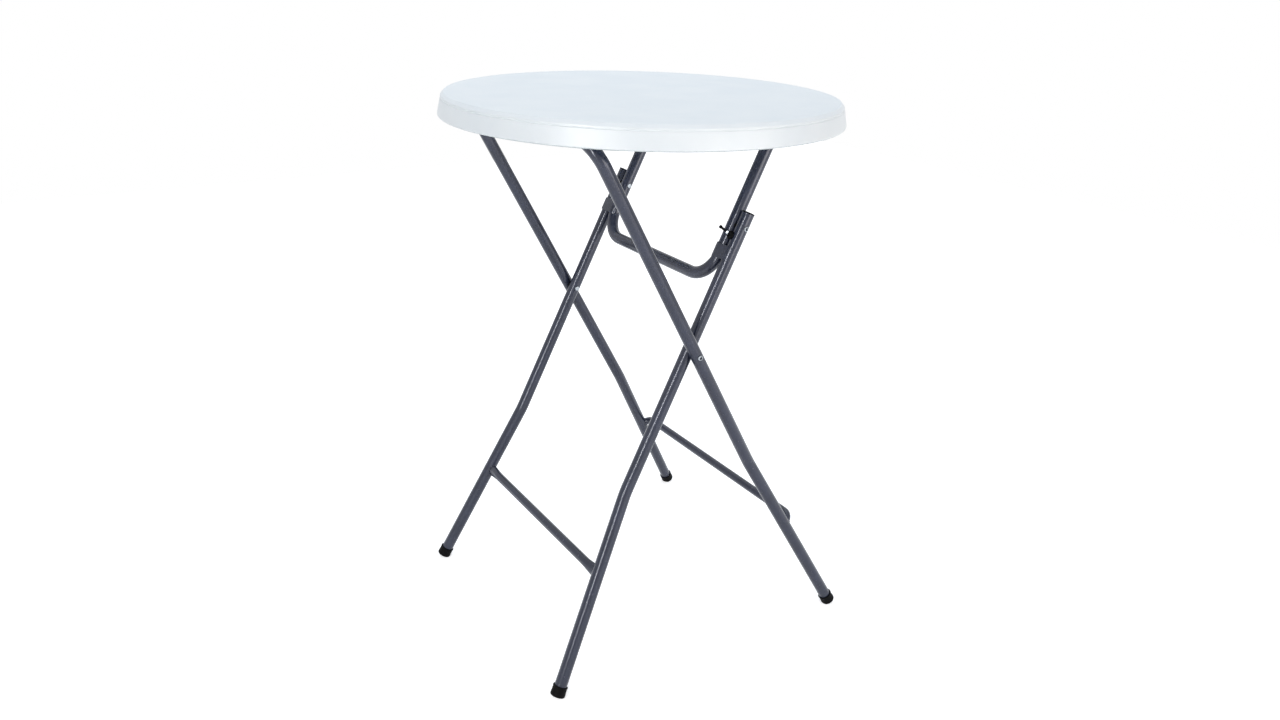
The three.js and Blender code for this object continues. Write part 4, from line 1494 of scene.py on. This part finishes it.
# %% Find the dimples' places
dimple_spacing = 34 * MM
dimple_rings = [
    (radius * MM, depth * MM)
    for radius, depth in ((10, 0), (8.8, 0.8), (6.6, 3.8), (4.8, 4.7), (2.4, 5))
]
dimple_radius = dimple_rings[0][0]
dimple_sides = 16
strap_margin = 9 * MM
field_margin = 4 * MM


def is_under_strap(x, y):
    """Whether a dimple at this place would meet a strap."""
    room = dimple_radius + strap_margin
    near_y = abs(abs(y) - strap_y) < strap_width / 2 + room
    near_x = [abs(x - pivot.x) < strap_reach + room for pivot in (outer_pivot, strut_pivot)]
    return near_y and any(near_x)


def dimple_places():
    row_height = dimple_spacing * math.sqrt(3) / 2
    rows = int(field_radius / row_height) + 1
    reach = field_radius - dimple_radius - field_margin
    places = []
    for row in range(-rows, rows + 1):
        shift = (row % 2) / 2
        for column in range(-rows - 2, rows + 3):
            x, y = (column + shift) * dimple_spacing, row * row_height
            if math.hypot(x, y) < reach and not is_under_strap(x, y):
                places.append((x, y))
    return places


print(len(dimple_places()), "dimples")


# %% Cut the holes for the dimples
def circle(x, y, radius, sides):
    angles = [2 * math.pi * k / sides for k in range(sides)]
    return [(x + radius * math.cos(a), y + radius * math.sin(a)) for a in angles]


def sheet_with_holes(places):
    """Points and triangles of the flat field, and where each hole's points start."""
    outlines = [circle(0, 0, field_radius, top_sides)]
    outlines += [circle(x, y, dimple_radius, dimple_sides) for x, y in places]
    points, edges, starts = [], [], []
    for outline in outlines:
        start, count = len(points), len(outline)
        starts.append(start)
        points += [Vector(p) for p in outline]
        edges += [(start + k, start + (k + 1) % count) for k in range(count)]
    flat, _, triangles, *_ = delaunay_2d_cdt(points, edges, [], 1, same_point)
    inside = (dimple_radius * 0.97) ** 2
    faces = []
    for triangle in triangles:
        middle = sum((flat[i] for i in triangle), Vector((0, 0))) / 3
        if all((middle.x - x) ** 2 + (middle.y - y) ** 2 > inside for x, y in places):
            faces.append(list(triangle))
    return flat, faces, starts[1:]


print("the field is", round(field_radius / MM * 2), "mm across")


# %% Press the dimples and close the shell
def press_underside():
    """A flat field with dimples pressed up into it."""
    places = dimple_places()
    flat, faces, starts = sheet_with_holes(places)
    vertices = [Vector((p.x, p.y, underside)) for p in flat]
    for (x, y), start in zip(places, starts):
        before = list(range(start, start + dimple_sides))
        for radius, depth in dimple_rings[1:]:
            now = list(range(len(vertices), len(vertices) + dimple_sides))
            vertices += [
                Vector((*p, underside + depth)) for p in circle(x, y, radius, dimple_sides)
            ]
            faces += [
                [before[k], before[(k + 1) % dimple_sides], now[(k + 1) % dimple_sides], now[k]]
                for k in range(dimple_sides)
            ]
            before = now
        faces.append(before)
    return mesh_piece("field", vertices, faces)


top = merge("top_shell", [top_shell, press_underside()])
with opened(top.data) as work:
    bmesh.ops.remove_doubles(work, verts=work.verts, dist=2e-6)
    bmesh.ops.recalc_face_normals(work, faces=work.faces)
    print("open edges in the top:", sum(edge.is_boundary for edge in work.edges))
crease(top, 40)
install(top, "top", moulded_polyethylene, "moulded_plastic", "tabletop")

# %% [markdown]
# ## Studio
#
# The table stands on a white sweep. The background is white because the camera and the reflections
# see it so, not because of more light: the world and the floor ask the light path who is looking.
# Rays that carry light from wall to wall get a dimmer, slightly cool world.

# %% Ask who is looking
def seen_directly(tree):
    """1 for rays from the camera and for reflected or refracted rays, 0 for others."""
    path = add_node(tree, "ShaderNodeLightPath").outputs
    seen = add_node(tree, "ShaderNodeMath", {
        0: path["Is Camera Ray"], 1: path["Is Glossy Ray"],
    }, operation="MAXIMUM")
    return add_node(tree, "ShaderNodeMath", {
        0: seen.outputs[0], 1: path["Is Transmission Ray"],
    }, operation="MAXIMUM").outputs[0]


print("white is shown to camera, glossy and transmission rays")


# %% Lay the floor
def make_floor(size=9.0, thickness=0.02, shaded_reach=0.4, white_reach=2.2, shaded_glow=0.6):
    """A white board that glows where it is seen, less so near the table, and keeps the shadow."""
    material = bpy.data.materials.new("white_sweep")
    material.use_nodes = True
    tree = material.node_tree
    tree.nodes.clear()
    place = add_node(tree, "ShaderNodeTexCoord").outputs["Object"]
    distance = add_node(tree, "ShaderNodeVectorMath", {0: place}, operation="LENGTH")
    strength = add_node(tree, "ShaderNodeMapRange", {
        "Value": distance.outputs["Value"], "From Min": shaded_reach, "From Max": white_reach,
        "To Min": shaded_glow, "To Max": 1,
    }).outputs[0]
    paper = add_node(tree, "ShaderNodeBsdfDiffuse", {"Color": linear("#F4F4F4")})
    glow = add_node(tree, "ShaderNodeEmission", {"Color": linear("#FFFFFF"), "Strength": strength})
    both = add_node(tree, "ShaderNodeAddShader", {0: paper.outputs[0], 1: glow.outputs[0]})
    mix = add_node(tree, "ShaderNodeMixShader", {
        0: seen_directly(tree), 1: paper.outputs[0], 2: both.outputs[0],
    })
    add_node(tree, "ShaderNodeOutputMaterial", {0: mix.outputs[0]})
    half = size / 2
    outline = [(-half, -half), (half, -half), (half, half), (-half, half)]
    floor = cut_plate("floor", outline, -thickness, 0, Matrix.Identity(4))
    floor.data.materials.append(material)
    floor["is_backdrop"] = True
    return floor


floor = make_floor()
print("stage:", floor.name)


# %% Build the world
def make_world(fill):
    world = bpy.data.worlds.new("white_studio")
    world.use_nodes = True
    tree = world.node_tree
    tree.nodes.clear()
    seen = add_node(tree, "ShaderNodeBackground", {"Color": linear("#FFFFFF"), "Strength": 1.0})
    dim = add_node(tree, "ShaderNodeBackground", {"Color": linear("#F2F7FF"), "Strength": fill})
    mix = add_node(tree, "ShaderNodeMixShader", {
        0: seen_directly(tree), 1: dim.outputs[0], 2: seen.outputs[0],
    })
    add_node(tree, "ShaderNodeOutputWorld", {0: mix.outputs[0]})
    scene.world = world


make_world(fill=0.45)
print("world:", scene.world.name)

# %% [markdown]
# ### The lamps
#
# A tall key box stands at the front left and a wide box at the front right, and a large cool box
# hangs above the top. A tube mirrors a tall lamp as a line along it, so a strip beside the key
# makes that line bright. It is hidden from matt surfaces, so it doesn't burn out the rim.

# %% Hang the lamps
def soft_box(name, place, aim, width, height, watts, colour="#FFFFFF"):
    data = bpy.data.lights.new(name, "AREA")
    data.shape = "RECTANGLE"
    data.size = width
    data.size_y = height
    data.energy = watts
    data.color = linear(colour)[:3]
    lamp = bpy.data.objects.new(name, data)
    lamp.location = place
    lamp.rotation_euler = (Vector(aim) - Vector(place)).to_track_quat("-Z", "Y").to_euler()
    scene.collection.objects.link(lamp)
    return lamp


soft_box("key_box", (-2.6, -1.36, 1.75), (0, 0, 0.75), width=0.26, height=2.2, watts=30)
soft_box(
    "front_box", (1.0, -3.4, 1.1), (0, 0, 0.8), width=2.6, height=1.4, watts=43, colour="#FFFAF6"
)
strip = soft_box(
    "reflected_strip", (-2.56, -1.42, 1.72), (0, 0, 0.75), width=0.11, height=2.2, watts=24
)
strip.visible_diffuse = False
soft_box(
    "top_box", (0.4, 0.8, 3.4), (0, 0, 0.9), width=2.4, height=2.4, watts=33.5, colour="#E6F3FF"
)
scene.view_settings.view_transform = "Standard"

# %% [markdown]
# ## The size
#
# The pieces dress the imported model; how far the whole has grown beyond its box is printed.
# The pieces may only dress the imported model, so the whole has to keep its box.

# %% Measure both boxes
looks_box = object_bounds()
grown = [[round((a - b) / MM, 2) for a, b in zip(*pair)] for pair in zip(looks_box, cad_box)]
print("grown by", grown, "mm")
